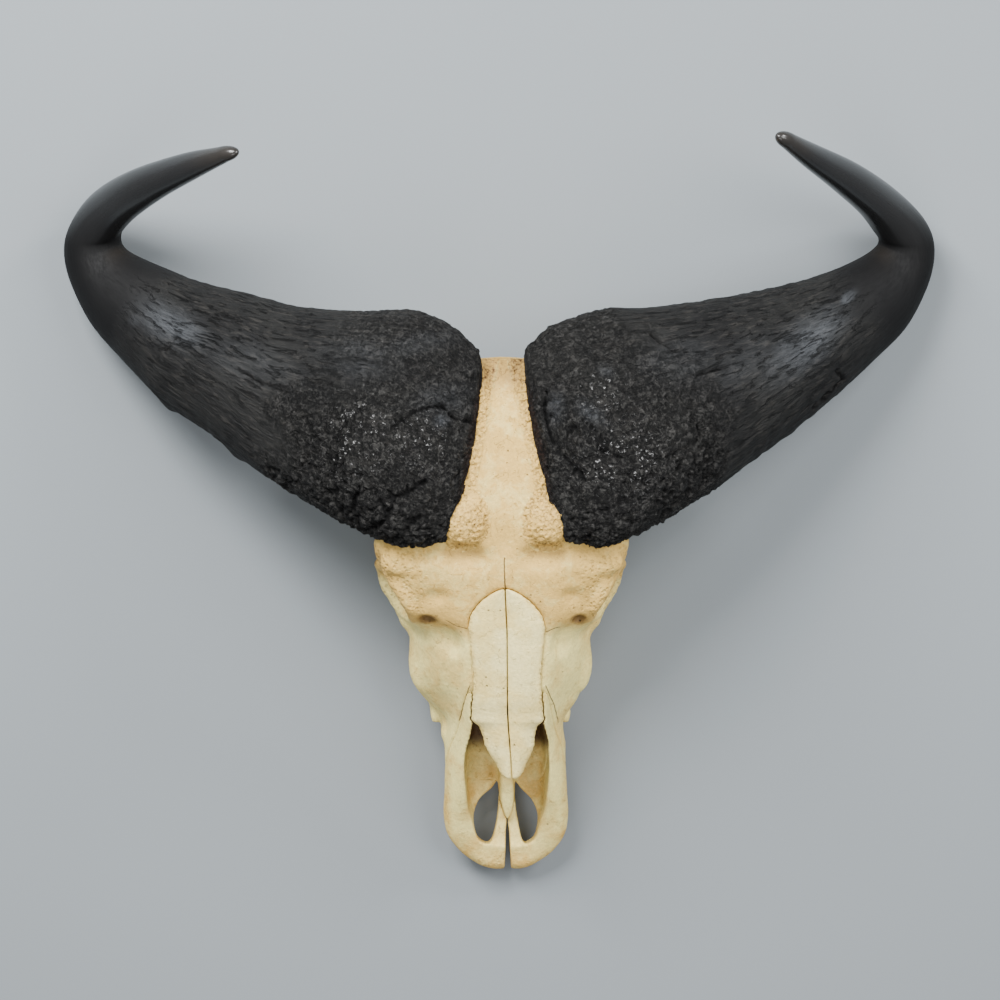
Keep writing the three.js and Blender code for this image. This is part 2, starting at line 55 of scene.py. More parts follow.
# Half sections of the skull, from the nose to the back of the head: place along, height of the
# roof's midline, seven points [out, height] down the side, and height of the underside's midline.
BODY = [
    [-380, 22, 8, 23, 14, 23, 17, 21, 17, 18, 14, 15, 9, 14, 5, 14, 15],
    [-374, 27, 12, 28, 22, 28, 29, 25, 30, 20, 26, 15, 18, 12.5, 9, 12, 13],
    [-360, 33, 20, 34, 36, 35, 47, 31, 48, 24, 42, 16, 29, 12, 14, 11, 13],
    [-342, 42, 26, 43, 46, 45, 59, 38, 61, 28, 53, 18, 37, 13, 18, 13, 16],
    [-320, 54, 28, 55, 49, 57, 63, 46, 65, 33, 57, 21, 41, 15, 20, 16, 20],
    [-295, 72, 30, 73, 49, 74, 62, 57, 64, 40, 57, 26, 42, 19, 22, 20, 26],
    [-265, 96, 31, 96, 47, 92, 60, 71, 63, 50, 57, 33, 46, 24, 28, 24, 32],
    [-238, 118, 33, 116, 44, 107, 56, 84, 63, 58, 64, 42, 60, 29, 40, 26, 37],
    [-218, 132, 34, 129, 43, 118, 54, 92, 61, 66, 62, 46, 62, 26, 46, 23, 39],
    [-196, 143, 35, 139, 45, 127, 60, 100, 75, 76, 77, 53, 71, 25, 50, 21, 41],
    [-180, 150, 35, 146, 48, 134, 68, 107, 85, 80, 87, 58, 78, 24, 50, 21, 42],
    [-165, 156, 35, 152, 51, 140, 74, 113, 90, 84, 90, 61, 80, 24, 50, 21, 42],
    [-140, 165, 36, 162, 55, 149, 77, 122, 90, 94, 90, 66, 81, 24, 50, 21, 43],
    [-123, 171, 38, 167, 58, 153, 79, 128, 89, 100, 89, 70, 80, 24, 49, 21, 44],
    [-108, 177, 40, 175, 64, 168, 86, 153, 95, 108, 93, 78, 78, 26, 48, 22, 45],
    [-85, 185, 44, 184, 80, 175, 103, 156, 103, 118, 96, 86, 74, 34, 46, 28, 48],
    [-55, 194, 50, 194, 96, 185, 119, 166, 114, 134, 88, 100, 58, 70, 28, 58, 60],
    [-42, 197, 51, 197, 100, 188, 125, 168, 112, 138, 76, 103, 52, 74, 25, 64, 64],
    [-25, 200, 52, 201, 100, 190, 126, 172, 98, 142, 63, 106, 44, 80, 22, 70, 68],
    [10, 204, 50, 205, 86, 196, 86, 168, 71, 132, 61, 98, 44, 74, 22, 64, 64],
    [60, 204, 46, 205, 80, 196, 83, 162, 76, 126, 69, 92, 49, 66, 24, 55, 55],
    [110, 200, 42, 201, 74, 190, 91, 158, 95, 116, 89, 85, 61, 57, 30, 49, 51],
    [140, 191, 38, 191, 70, 180, 93, 150, 101, 112, 94, 83, 66, 60, 32, 52, 56],
    [153, 176, 34, 176, 62, 165, 84, 140, 91, 108, 83, 82, 59, 64, 30, 58, 62],
]

# Nasal bones: place along, half width, roof height at the midline and at the outer edge.
NASAL = [
    [-274, 7, 112, 110],
    [-269.5, 11, 113.7, 111],
    [-262, 14, 116.7, 112.5],
    [-254, 18, 120, 115],
    [-243.5, 23.5, 124, 118],
    [-231, 26.5, 129, 121],
    [-222, 28.5, 132.2, 124],
    [-217.5, 31.5, 134, 127],
    [-213.5, 36, 136, 130],
    [-205, 36.5, 139.5, 134],
    [-191, 35.3, 146.5, 142.5],
    [-170, 34, 155, 151.5],
    [-149, 35, 163, 160],
    [-130, 37, 169.8, 167],
    [-114, 38, 175.5, 173],
    [-101, 34, 179.5, 177.5],
    [-89, 24, 184, 182],
    [-81, 13, 186.5, 185.5],
    [-76.5, 3, 188, 187.5],
]
# The open nose: place along, floor height, half width of the floor and of the rim.
NOSTRIL = [
    [-354, 34, 12, 16],
    [-346, 33, 24, 29],
    [-320, 33, 32, 38],
    [-292, 36, 36, 42],
    [-264, 41, 37, 44],
    [-243, 46, 36, 42],
    [-228, 50, 34, 38.5],
    [-213, 54, 31, 35],
]
# The hollow under the nasal bones: place along, floor and roof heights, half width.
AIRWAY = [
    [-246, 46, 112, 30],
    [-225, 50, 123, 30],
    [-190, 54, 137, 30],
    [-150, 60, 150, 26],
    [-128, 74, 146, 14],
]
# The blade along the nose floor: place along, half width, foot and top heights.
VOMER = [
    [-325, 0.6, 36, 42],
    [-314, 5.5, 35, 46],
    [-298, 8.3, 35, 51],
    [-270, 8.3, 36, 62],
    [-235, 6, 38, 76],
    [-160, 5, 44, 100],
]
# The long hole through the palate: its outline from above, as [out, along].
PALATE_SLOT = [
    [8.7, -286], [15.8, -293], [24.8, -301], [30.6, -310], [34.3, -324], [32.7, -338],
    [29, -346.5], [21, -351.5], [16, -347.5], [12.2, -333], [9, -312],
]
# The sloping seam behind the incisor bones, and the gap between them: place along, half width.
SEAM_Y, SEAM_Z, SEAM_SLOPE = -183, 141, 1.05
INCISOR_SLOT = [[-392, 3.9], [-372, 3.2], [-340, 1.9], [-326, 0.7], [-120, 0.7]]
# The eye socket: its middle, the rim's radius and thickness, and where its axis points.
ORBIT_MIDDLE = np.array([103.0, -80.0, 133.0])
ORBIT_RADIUS, ORBIT_RIM = 32, 6.5
ORBIT_FORWARDS, ORBIT_UPWARDS = math.radians(30), math.radians(11)

# Teeth of one row: name, middle [out, along], length along the row and width.
TEETH = [
    ["premolar_2", 55, -225.5, 13, 12],
    ["premolar_3", 59.5, -209, 18, 16.5],
    ["premolar_4", 63, -190.5, 17.5, 20],
    ["molar_1", 64.5, -169, 24, 24],
    ["molar_2", 65, -141.5, 28, 26],
    ["molar_3", 63, -111.5, 30, 25],
]
TOOTH_TOP = 36

# Horn sheaths from base to tip: the inner and outer edges seen from above [x, y, x, y], and for
# both horns the height of the centre line and half thickness. A place on a horn counts rows.
HORN_LEFT = [
    [28, 165, 69, -30], [56, 187, 102, -36], [102, 198, 145, -18],
    [153, 205, 199, 12], [206, 214, 249, 47], [259, 225, 300, 83],
    [311, 238, 345, 119], [353, 254, 389, 157], [381.4, 268.3, 426.4, 193.2],
    [396, 279, 451, 238], [398.5, 286.4, 457.6, 275.4], [391, 295.4, 447.3, 303.5],
    [370.9, 313.4, 416.3, 328.5], [335.4, 334.3, 373.7, 347.4], [301.2, 350.5, 327.4, 361.6],
    [278, 361.5, 292.1, 372.5],
]
HORN_RIGHT = [
    [-23, 162, -58, -31], [-54, 188, -94, -37], [-100, 199, -140, -20],
    [-151, 202, -192, 8], [-204, 208, -242, 39], [-257, 223, -296, 79],
    [-306, 236, -347, 113], [-350, 254, -392, 156], [-381.4, 268.3, -429.4, 196.2],
    [-396, 278, -454, 243], [-399.5, 287.4, -459.6, 277.4], [-394, 298.5, -450.3, 303.5],
    [-373, 313.4, -426.4, 325.5], [-337.4, 328.3, -383.8, 341.4], [-296.2, 340.4, -326.4, 354.5],
    [-265.9, 348.4, -281, 359.5],
]
HORN_RISE = [
    [203, 16], [194, 38], [174, 53], [150, 55], [127, 52], [104, 48],
    [82, 44], [60, 40], [38.5, 36], [31.6, 33], [35.5, 31], [46, 28.5],
    [73, 25.5], [116, 21], [160, 15.5], [195, 9],
]
# How far the rounded tip and base reach past the first and last rows.
HORN_TIP_REACH = 18.5
HORN_BASE_BULGE = 15
# Low lumps on the horns: middle, width and height.
HORN_LUMPS = [
    [-270, 56, 104, 13, 8], [-340, 112, 72, 14, 7], [-176, 14, 130, 18, 5], [-120, 60, 225, 34, 5],
    [-70, 20, 225, 26, 4], [-90, 200, 190, 22, 4], [110, 196, 190, 26, 5], [150, 0, 150, 20, 4],
    [90, 70, 232, 34, 4], [214, 30, 125, 16, 4], [150, 120, 200, 30, 3],
]

# Deep cracks in the horns, each a path seen from above.
CRACKS_LEFT = [
    [[45, 118], [44, 106], [45, 90], [50, 71], [60, 56], [70, 45], [83, 30]],
    [[80, 90], [93, 81], [99, 75], [95, 65], [103, 58], [120, 53]],
    [[53, 68], [63, 66], [65, 77], [73, 83]],
    [[229, 145], [206, 138], [196, 136]],
    [[320, 105], [336, 121], [352, 135], [344, 143]],
    [[150, 175], [171, 160], [186, 158]],
]
CRACKS_RIGHT = [
    [[-20, 87], [-31, 87], [-40, 89], [-47, 93], [-53, 101], [-61, 103], [-74, 102], [-84, 98],
     [-94, 91], [-106, 85]],
    [[-160, 56], [-162, 49], [-165, 35], [-161, 20], [-164, 11], [-157, -3]],
    [[-139, 23], [-141, 17], [-146, 7], [-152, -5]],
    [[-74, 31], [-89, 18], [-103, 14], [-108, 2], [-122, -17], [-135, -20]],
    [[-343, 163], [-336, 170], [-333, 176], [-329, 177], [-328, 173]],
    [[-215, 120], [-238, 128], [-262, 140]],
]
# Smooth worn patches on the horns, light grey with painted sheen where they face up: middle, half length,
# half width, heading in degrees, strength.
SHEEN_LEFT = [
    [309, 170, 50, 20, 40, 1.0], [358, 220, 11, 5, 42, 1.6], [55, 102, 9, 15, 0, 0.8],
    [88, 96, 16, 8, -38, 0.9], [104, 137, 9, 6, -30, 0.6], [250, 150, 50, 22, 22, 0.25],
    [175, 150, 40, 22, 8, 0.25],
]
SHEEN_RIGHT = [
    [-338, 192, 42, 17, 150, 1.0], [-374, 197, 9, 7, 0, 0.5], [-59, 109, 26, 14, 10, 0.5],
    [-57, 89, 8, 6, 20, 1.4], [-80, 165, 36, 10, 10, 0.35], [-250, 150, 50, 22, 160, 0.25],
    [-140, 150, 40, 22, 172, 0.3],
]
# Patches of painted glints, bright specks where the horn faces up: middle and size.
GLINTS_LEFT = [[123, 52, 30], [92, 44, 16], [100, 120, 18]]
GLINTS_RIGHT = [[-138, 74, 27], [-75, 70, 20], [-150, 50, 16]]

# Each horn's table, seed, cracks, worn patches and specks.
HORNS = {
    "left": (np.hstack([HORN_LEFT, HORN_RISE]), 41, CRACKS_LEFT, SHEEN_LEFT, GLINTS_LEFT),
    "right": (np.hstack([HORN_RIGHT, HORN_RISE]), 83, CRACKS_RIGHT, SHEEN_RIGHT, GLINTS_RIGHT),
}
BEND_ROUNDS = 170  # times that the horn's bend is smoothed

# Cracks and seams drawn on the cranium, and lines of painted shadow under the brow's ledges, seen from
# above: from, to, width and wander, all in mm.
CRACKS = [
    [(4.2, -46), (4.2, -66), 0.7, 2.0],
    [(4.2, -66), (5.5, -80), 0.9, 2.5],
    # the line under the ledge before each eye: painted shadow with a faint brown seam
    [(-33, -117.5), (-44, -114), 0.5, 3.0],
    [(-44, -114), (-55, -109), 0.4, 3.0],
    [(46, -120), (59, -116), 0.5, 3.0],
    [(-31, -176), (-37, -196), 0.6, 2.0],
    [(-37, -196), (-42, -215), 0.6, 2.0],
    [(46, -176), (55, -198), 0.6, 2.0],
    [(55, -198), (60, -218), 0.6, 2.0],
]

# Blocks of the skull's half in which the bones are worked out: their lowest and highest corners.
CRANIUM_BLOCK = ([0, -345, 10], [148, 184, 216])
NASAL_BLOCK = ([0, -276, 98], [42, -72, 196])
MUZZLE_BLOCK = ([0, -384, 8], [70, -170, 154])
MUZZLE_CELL = 1.15  # times the fine cell

# The grid of the brow's crust, in mm: its cell, its reach out and along, and its thickness.
CRUST_CELL, CRUST_OUT, CRUST_ALONG, CRUST_THICK = 1.0, 68, (-50, 152), 7

# Lamps: name, place and size in metres, power in watts. Each points at the origin.
LAMPS = (
    ("window light", (-0.9, 1.5, 2.1), 1.1, 130),
    ("room light", (1.5, 0.6, 2.2), 1.4, 54),
    ("front light", (-0.2, -1.2, 2.3), 1.4, 24),
    ("left low light", (-1.2, 1.7, 1.35), 0.5, 36),
    ("right low light", (1.5, 1.5, 1.35), 0.5, 34),
)
SKY_COLOUR, SKY_STRENGTH = (0.93, 0.96, 1.0, 1), 0.4
TABLE_COLOUR, TABLE_REACH = (0.2, 0.222, 0.236, 1), 6.0
CAMERA_PLACE, CAMERA_LENS, CAMERA_SENSOR = (0.0007, 0.0134, 2.6), 87.48, 36


def along(rows, at):
    """A table's values between its rows: cubic curves whose slope at a row is that of the line
    between the rows before and after it."""
    rows = np.asarray(rows, float)
    place = np.clip(np.atleast_1d(np.asarray(at, float)), rows[0, 0], rows[-1, 0])
    last = len(rows) - 1
    i = np.clip(np.searchsorted(rows[:, 0], place, side="right") - 1, 0, last - 1)
    before = rows[np.maximum(np.arange(last + 1) - 1, 0)]
    after = rows[np.minimum(np.arange(last + 1) + 1, last)]
    slope = (after[:, 1:] - before[:, 1:]) / (after[:, :1] - before[:, :1])
    step = (rows[i + 1, 0] - rows[i, 0])[:, None]
    u = (place[:, None] - rows[i, :1]) / step
    start, end = rows[i, 1:], rows[i + 1, 1:]
    rise = step * (slope[i] * u * (1 - u) ** 2 - slope[i + 1] * u * u * (1 - u))
    return start + (end - start) * u * u * (3 - 2 * u) + rise


def ramp(value, low, high):
    """0 at low, 1 at high, and a smooth S between; low may be the greater."""
    u = np.clip((value - low) / (high - low), 0, 1)
    return u * u * (3 - 2 * u)


def past_ends(rows, place):
    """How far a place lies beyond a table's ends, negative between them."""
    return np.maximum(rows[0][0] - place, place - rows[-1][0])


def smooth_curve(points, t):
    """A closed Catmull-Rom curve: between two points a cubic in t, whose slope at each is half the
    line between the points before and after it."""
    p0, p1, p2, p3 = (np.roll(points, 1 - k, axis=-2)[..., None, :] for k in range(4))
    t = t[:, None]
    return 0.5 * (2 * p1 + (p2 - p0) * t + (2 * p0 - 5 * p1 + 4 * p2 - p3) * t * t
                  + (3 * p1 - p0 - 3 * p2 + p3) * t ** 3)


def gradient_noise(p, seed):
    """Smooth noise from -1 to 1: each lattice corner has a random slope, and the corners' slopes
    are blended with quintic weights."""
    rng = np.random.default_rng(seed)
    table = rng.permutation(256)
    slopes = rng.normal(size=(256, 3))
    slopes /= np.linalg.norm(slopes, axis=1, keepdims=True)
    base = np.floor(p).astype(np.int64)
    f = p - base
    w = f * f * f * (f * (f * 6 - 15) + 10)
    total = np.zeros(len(p))
    for corner in np.ndindex(2, 2, 2):
        c = np.array(corner)
        q = (base + c) & 255
        index = table[(table[(table[q[:, 0]] + q[:, 1]) & 255] + q[:, 2]) & 255]
        share = np.prod(np.where(c, w, 1 - w), axis=1)
        total += share * np.einsum("ij,ij->i", slopes[index], f - c)
    return total * 1.5


def layered_noise(p, seed, layers=4, rough=0.5):
    """Octaves of noise, each twice as fine and `rough` times as strong as the last."""
    total = sum(rough ** k * gradient_noise(p * 2.0 ** k + 17 * k, seed + k) for k in range(layers))
    return total / sum(rough ** k for k in range(layers))


def cell_noise(p, seed):
    """Scattered points, one in each lattice cell: the distances to the nearest and the next."""
    rng = np.random.default_rng(seed)
    table = rng.permutation(256)
    jitter = rng.random((256, 3))
    base = np.floor(p).astype(np.int64)
    nearest = np.full(len(p), 9.0)
    second = np.full(len(p), 9.0)
    for offset in np.ndindex(3, 3, 3):
        q = base + np.array(offset) - 1
        k = q & 255
        index = table[(table[(table[k[:, 0]] + k[:, 1]) & 255] + k[:, 2]) & 255]
        away = np.linalg.norm(q + jitter[index] - p, axis=1)
        second = np.minimum(second, np.maximum(nearest, away))
        nearest = np.minimum(nearest, away)
    return nearest, second


def smooth_min(a, b, k):
    """The lesser of two distances, with a fillet of about k where they are alike."""
    h = np.clip(0.5 + 0.5 * (b - a) / k, 0, 1)
    return b + (a - b) * h - k * h * (1 - h)


def smooth_max(a, b, k):
    """The greater of two distances, with a fillet of about k where they are alike."""
    return -smooth_min(-a, -b, k)


class Block:
    """Evenly spaced points in the skull's half: out, along and up, as three open arrays."""

    def __init__(self, low, high, step):
        self.low = np.asarray(low, float)
        self.step = step
        counts = np.ceil((np.asarray(high, float) - self.low) / step).astype(int) + 1
        axes = [self.low[k] + step * np.arange(counts[k]) for k in range(3)]
        self.out = axes[0][:, None, None].astype(np.float32)
        self.along = axes[1][None, :, None].astype(np.float32)
        self.up = axes[2][None, None, :].astype(np.float32)
        self.shape = tuple(counts)

    def near(self, low, high):
        """Slices of the block between two corners, and that smaller block."""
        first = np.floor((np.asarray(low) - self.low) / self.step).astype(int)
        last = np.ceil((np.asarray(high) - self.low) / self.step).astype(int) + 1
        first = np.clip(first, 0, np.array(self.shape) - 2)
        last = np.clip(last, first + 2, self.shape)
        cut = tuple(slice(a, b) for a, b in zip(first, last))
        part = Block.__new__(Block)
        part.low, part.step = self.low + first * self.step, self.step
        part.out = self.out[cut[0]]
        part.along = self.along[:, cut[1]]
        part.up = self.up[:, :, cut[2]]
        part.shape = tuple(last - first)
        return cut, part


def body_distance(block):
    """Distance to the skull's skin. At each place along, the half section is a smooth closed curve
    (a Catmull-Rom curve through its points and their mirror images), cut into short lines; the
    distance is to the nearest line, and negative where a level ray outwards crosses the curve an
    odd number of times."""
    row = along(BODY, block.along.ravel())
    count = len(row)
    half = np.zeros((count, 9, 2))
    half[:, 0, 1] = row[:, 0]
    half[:, 1:8] = row[:, 1:15].reshape(count, 7, 2)
    half[:, 8, 1] = row[:, 15]
    mirrored = half[:, 7:0:-1] * [-1, 1]
    curve = smooth_curve(np.concatenate([half, mirrored], axis=1), np.arange(5) / 5)[:, :8]
    line = np.concatenate([curve.reshape(count, 40, 2), half[:, 8:9]], axis=1).astype(np.float32)
    field = np.empty(block.shape, np.float32)
    x = block.out[:, 0, :, None]
    z = block.up[0, :, :, None].reshape(1, -1, 1)
    for j in range(count):
        a, b = line[j, :-1], line[j, 1:]
        d = b - a
        size = np.maximum((d * d).sum(1), 1e-6)
        px, pz = x - a[:, 0], z - a[:, 1]
        share = np.clip((px * d[:, 0] + pz * d[:, 1]) / size, 0, 1)
        away = np.sqrt(((px - share * d[:, 0]) ** 2 + (pz - share * d[:, 1]) ** 2).min(-1))
        spans = (a[:, 1] > z) != (b[:, 1] > z)
        meets = a[:, 0] + (z - a[:, 1]) * d[:, 0] / np.where(d[:, 1] == 0, 1e-6, d[:, 1])
        inside = (spans & (meets > x)).sum(-1) % 2 == 1
        field[:, j] = np.where(inside, -away, away)
    return smooth_max(field, past_ends(BODY, block.along), 6)


def egg_distance(block, centre, radii, turn=0.0):
    """About the distance to an ellipsoid: its stretched radius less one, over its slope."""
    x, y, z = block.out - centre[0], block.along - centre[1], block.up - centre[2]
    c, s = math.cos(turn), math.sin(turn)
    u, v = (c * x + s * y) / radii[0], (c * y - s * x) / radii[1]
    w = z / radii[2]
    k0 = np.sqrt(u * u + v * v + w * w)
    k1 = np.sqrt((u / radii[0]) ** 2 + (v / radii[1]) ** 2 + (w / radii[2]) ** 2)
    return k0 * (k0 - 1) / np.maximum(k1, 1e-6)


def rod_distance(block, stations):
    """Distance to a rod through stations [out, along, up, half width, half height]: for each stretch
    the offset from its centre line is squashed by the height to width, less the half width."""
    best = None
    for a, b in zip(np.asarray(stations, float)[:-1], np.asarray(stations, float)[1:]):
        d = b[:3] - a[:3]
        x, y, z = block.out - a[0], block.along - a[1], block.up - a[2]
        u = np.clip((x * d[0] + y * d[1] + z * d[2]) / (d @ d), 0, 1)
        wide, high = a[3] + u * (b[3] - a[3]), a[4] + u * (b[4] - a[4])
        ox, oy, oz = x - u * d[0], y - u * d[1], (z - u * d[2]) * wide / high
        away = (np.sqrt(ox * ox + oy * oy + oz * oz) - wide) * np.minimum(1, high / wide)
        best = away if best is None else smooth_min(best, away, 3)
    return best


def orbit_rim_distance(block):
    """Distance to the eye socket's rim: a ring whose axis points out, forwards and a little up."""
    x, y, z = (getattr(block, key) - ORBIT_MIDDLE[k] for k, key in enumerate(("out", "along", "up")))
    c, s = math.cos(ORBIT_FORWARDS), math.sin(ORBIT_FORWARDS)
    level = c * x - s * y
    axis = (math.cos(ORBIT_UPWARDS) * level + math.sin(ORBIT_UPWARDS) * z) / 1.25
    rise = math.cos(ORBIT_UPWARDS) * z - math.sin(ORBIT_UPWARDS) * level
    across = s * x + c * y
    lumpy = ORBIT_RIM * (1 + 0.12 * np.sin(5 * np.arctan2(rise, across) + 1))
    return np.sqrt((np.sqrt(across ** 2 + rise ** 2) - ORBIT_RADIUS) ** 2 + axis ** 2) - lumpy


def outline_distance(x, y, points):
    """Distance to a flat outline, negative inside it."""
    points = np.asarray(points, float)
    best, inside = math.inf, False
    for a, b in zip(points, np.roll(points, -1, axis=0)):
        d = b - a
        u = np.clip(((x - a[0]) * d[0] + (y - a[1]) * d[1]) / (d @ d), 0, 1)
        away = (x - a[0] - u * d[0]) ** 2 + (y - a[1] - u * d[1]) ** 2
        best = np.minimum(best, away)
        crosses = ((a[1] > y) != (b[1] > y)) & (x < a[0] + (y - a[1]) * d[0] / (d[1] or 1e-9))
        inside = inside ^ crosses
    return np.where(inside, -1, 1) * np.sqrt(best)


def slot_distance(block):
    """Distance to the long hole through the palate."""
    outline = smooth_curve(np.asarray(PALATE_SLOT, float), np.arange(6) / 6).reshape(-1, 2)
    return outline_distance(block.out, block.along, outline) + 0 * block.up


def nostril_distance(block):
    """Distance to the open nose: a channel, open upwards, with a rounded floor."""
    floor, foot, rim = along(NOSTRIL, block.along.ravel()).T[:, None, :, None]
    lift = np.clip((block.up - floor) / 26, 0, 1)
    wall = block.out - (foot + (rim - foot) * np.sqrt(lift))
    return smooth_max(smooth_max(wall, floor - block.up, 7), past_ends(NOSTRIL, block.along), 5)


def airway_distance(block):
    """Distance to the hollow under the nasal bones."""
    low, high, wide = along(AIRWAY, block.along.ravel()).T[:, None, :, None]
    middle = (low + high) / 2
    tall = (high - low) / 2
    oval = np.sqrt((block.out / wide) ** 2 + ((block.up - middle) / tall) ** 2) - 1
    return smooth_max(oval * np.minimum(wide, tall), past_ends(AIRWAY, block.along), 5)


def vomer_distance(block):
    """Distance to the blade that stands on the nose floor."""
    half, foot, top = along(VOMER, block.along.ravel()).T[:, None, :, None]
    thin = half * (1 - 0.25 * np.clip((block.up - foot) / 20, 0, 1))
    ends = np.maximum(foot - 6 - block.up, past_ends(VOMER, block.along))
    return np.maximum(smooth_max(block.out - thin, block.up - top, 3), ends)


def nasal_distance(block, grow=0.0, open_above=False):
    """Distance to a nasal bone: its outline from above, its arched roof and its underside. Open above,
    it is the pocket that the bone lies in."""
    half, middle, edge = along(NASAL, block.along.ravel()).T[:, None, :, None]
    share = np.clip(block.out / half, 0, 1.2)
    half = half + 0.3 * np.sin(block.along * 0.47) + 0.25 * np.sin(block.along * 1.13 + 1)
    arch = 1.9 * np.sin(math.pi * np.clip(share, 0, 1))
    roof = edge + (middle - edge) * (1 - share ** 2) + arch + 0.6
    thick = 6.0 - 1.5 * share
    slope = np.clip(np.abs(np.gradient(half[0, :, 0], block.step)), 0, 2.5)[None, :, None]
    side = (block.out - half) / np.sqrt(1 + slope ** 2)
    flat = smooth_max(side, past_ends(NASAL, block.along), 3)
    if not open_above:
        flat = smooth_max(flat, block.up - roof, 2.5)
    return smooth_max(flat, roof - thick - block.up, 2) - grow


def seam_distance(block):
    """Distance behind the sloping seam of the incisor bones, negative in front of it."""
    size = math.hypot(1, SEAM_SLOPE)
    return (SEAM_Z + SEAM_SLOPE * (block.along - SEAM_Y) - block.up) / size


def tooth_distance(x, y, long, wide):
    """About the distance to a tooth's squared oval."""
    u = (np.abs(x) / (wide / 2)) ** 3.2 + (np.abs(y) / (long / 2)) ** 3.2
    return (u ** (1 / 3.2) - 1) * min(long, wide) / 2


def join(field, block, shape, low, high, blend):
    """Adds a shape to part of the field with a fillet."""
    cut, part = block.near(np.asarray(low) - 2 * blend, np.asarray(high) + 2 * blend)
    field[cut] = smooth_min(field[cut], shape(part), blend)


def carve(field, block, shape, low, high, blend):
    """Takes a shape out of part of the field, with rounded edges."""
    cut, part = block.near(np.asarray(low) - 2 * blend, np.asarray(high) + 2 * blend)
    field[cut] = smooth_max(field[cut], -shape(part), blend)


def egg(centre, radii, turn=0.0):
    """An ellipsoid as a form: its distance function and the corners of a box round it."""
    reach = np.array([max(radii[:2]), max(radii[:2]), radii[2]])
    return lambda part: egg_distance(part, centre, radii, turn), centre - reach, centre + reach


def rod(stations):
    """A rod as a form: its distance function and the corners of a box round it."""
    places, sizes = np.split(np.asarray(stations, float), [3], axis=1)
    low, high = places.min(0) - sizes.max(), places.max(0) + sizes.max()
    return lambda part: rod_distance(part, stations), low, high


def tooth_socket(out, y, long, wide):
    """The socket of a tooth as a form: a slightly larger squared oval up to the tooth's top."""
    def distance(part):
        """About the distance to the socket."""
        shape = tooth_distance(part.out - out, part.along - y, long + 1.4, wide + 1.4)
        return np.maximum(shape, part.up - TOOTH_TOP)
    return distance, [out - 20, y - 20, 0], [out + 20, y + 20, TOOTH_TOP]


OPEN_NOSE = (nostril_distance, [0, -354, 30], [48, -212, 400])
PALATE_HOLE = (slot_distance, [8, -354, 0], [38, -282, 60])
NASAL_POCKET = (lambda part: nasal_distance(part, 0.7, True), [0, -278, 98], [42, -72, 214])
NOSE_BLADE = (vomer_distance, [0, -328, 28], [10, -160, 102])


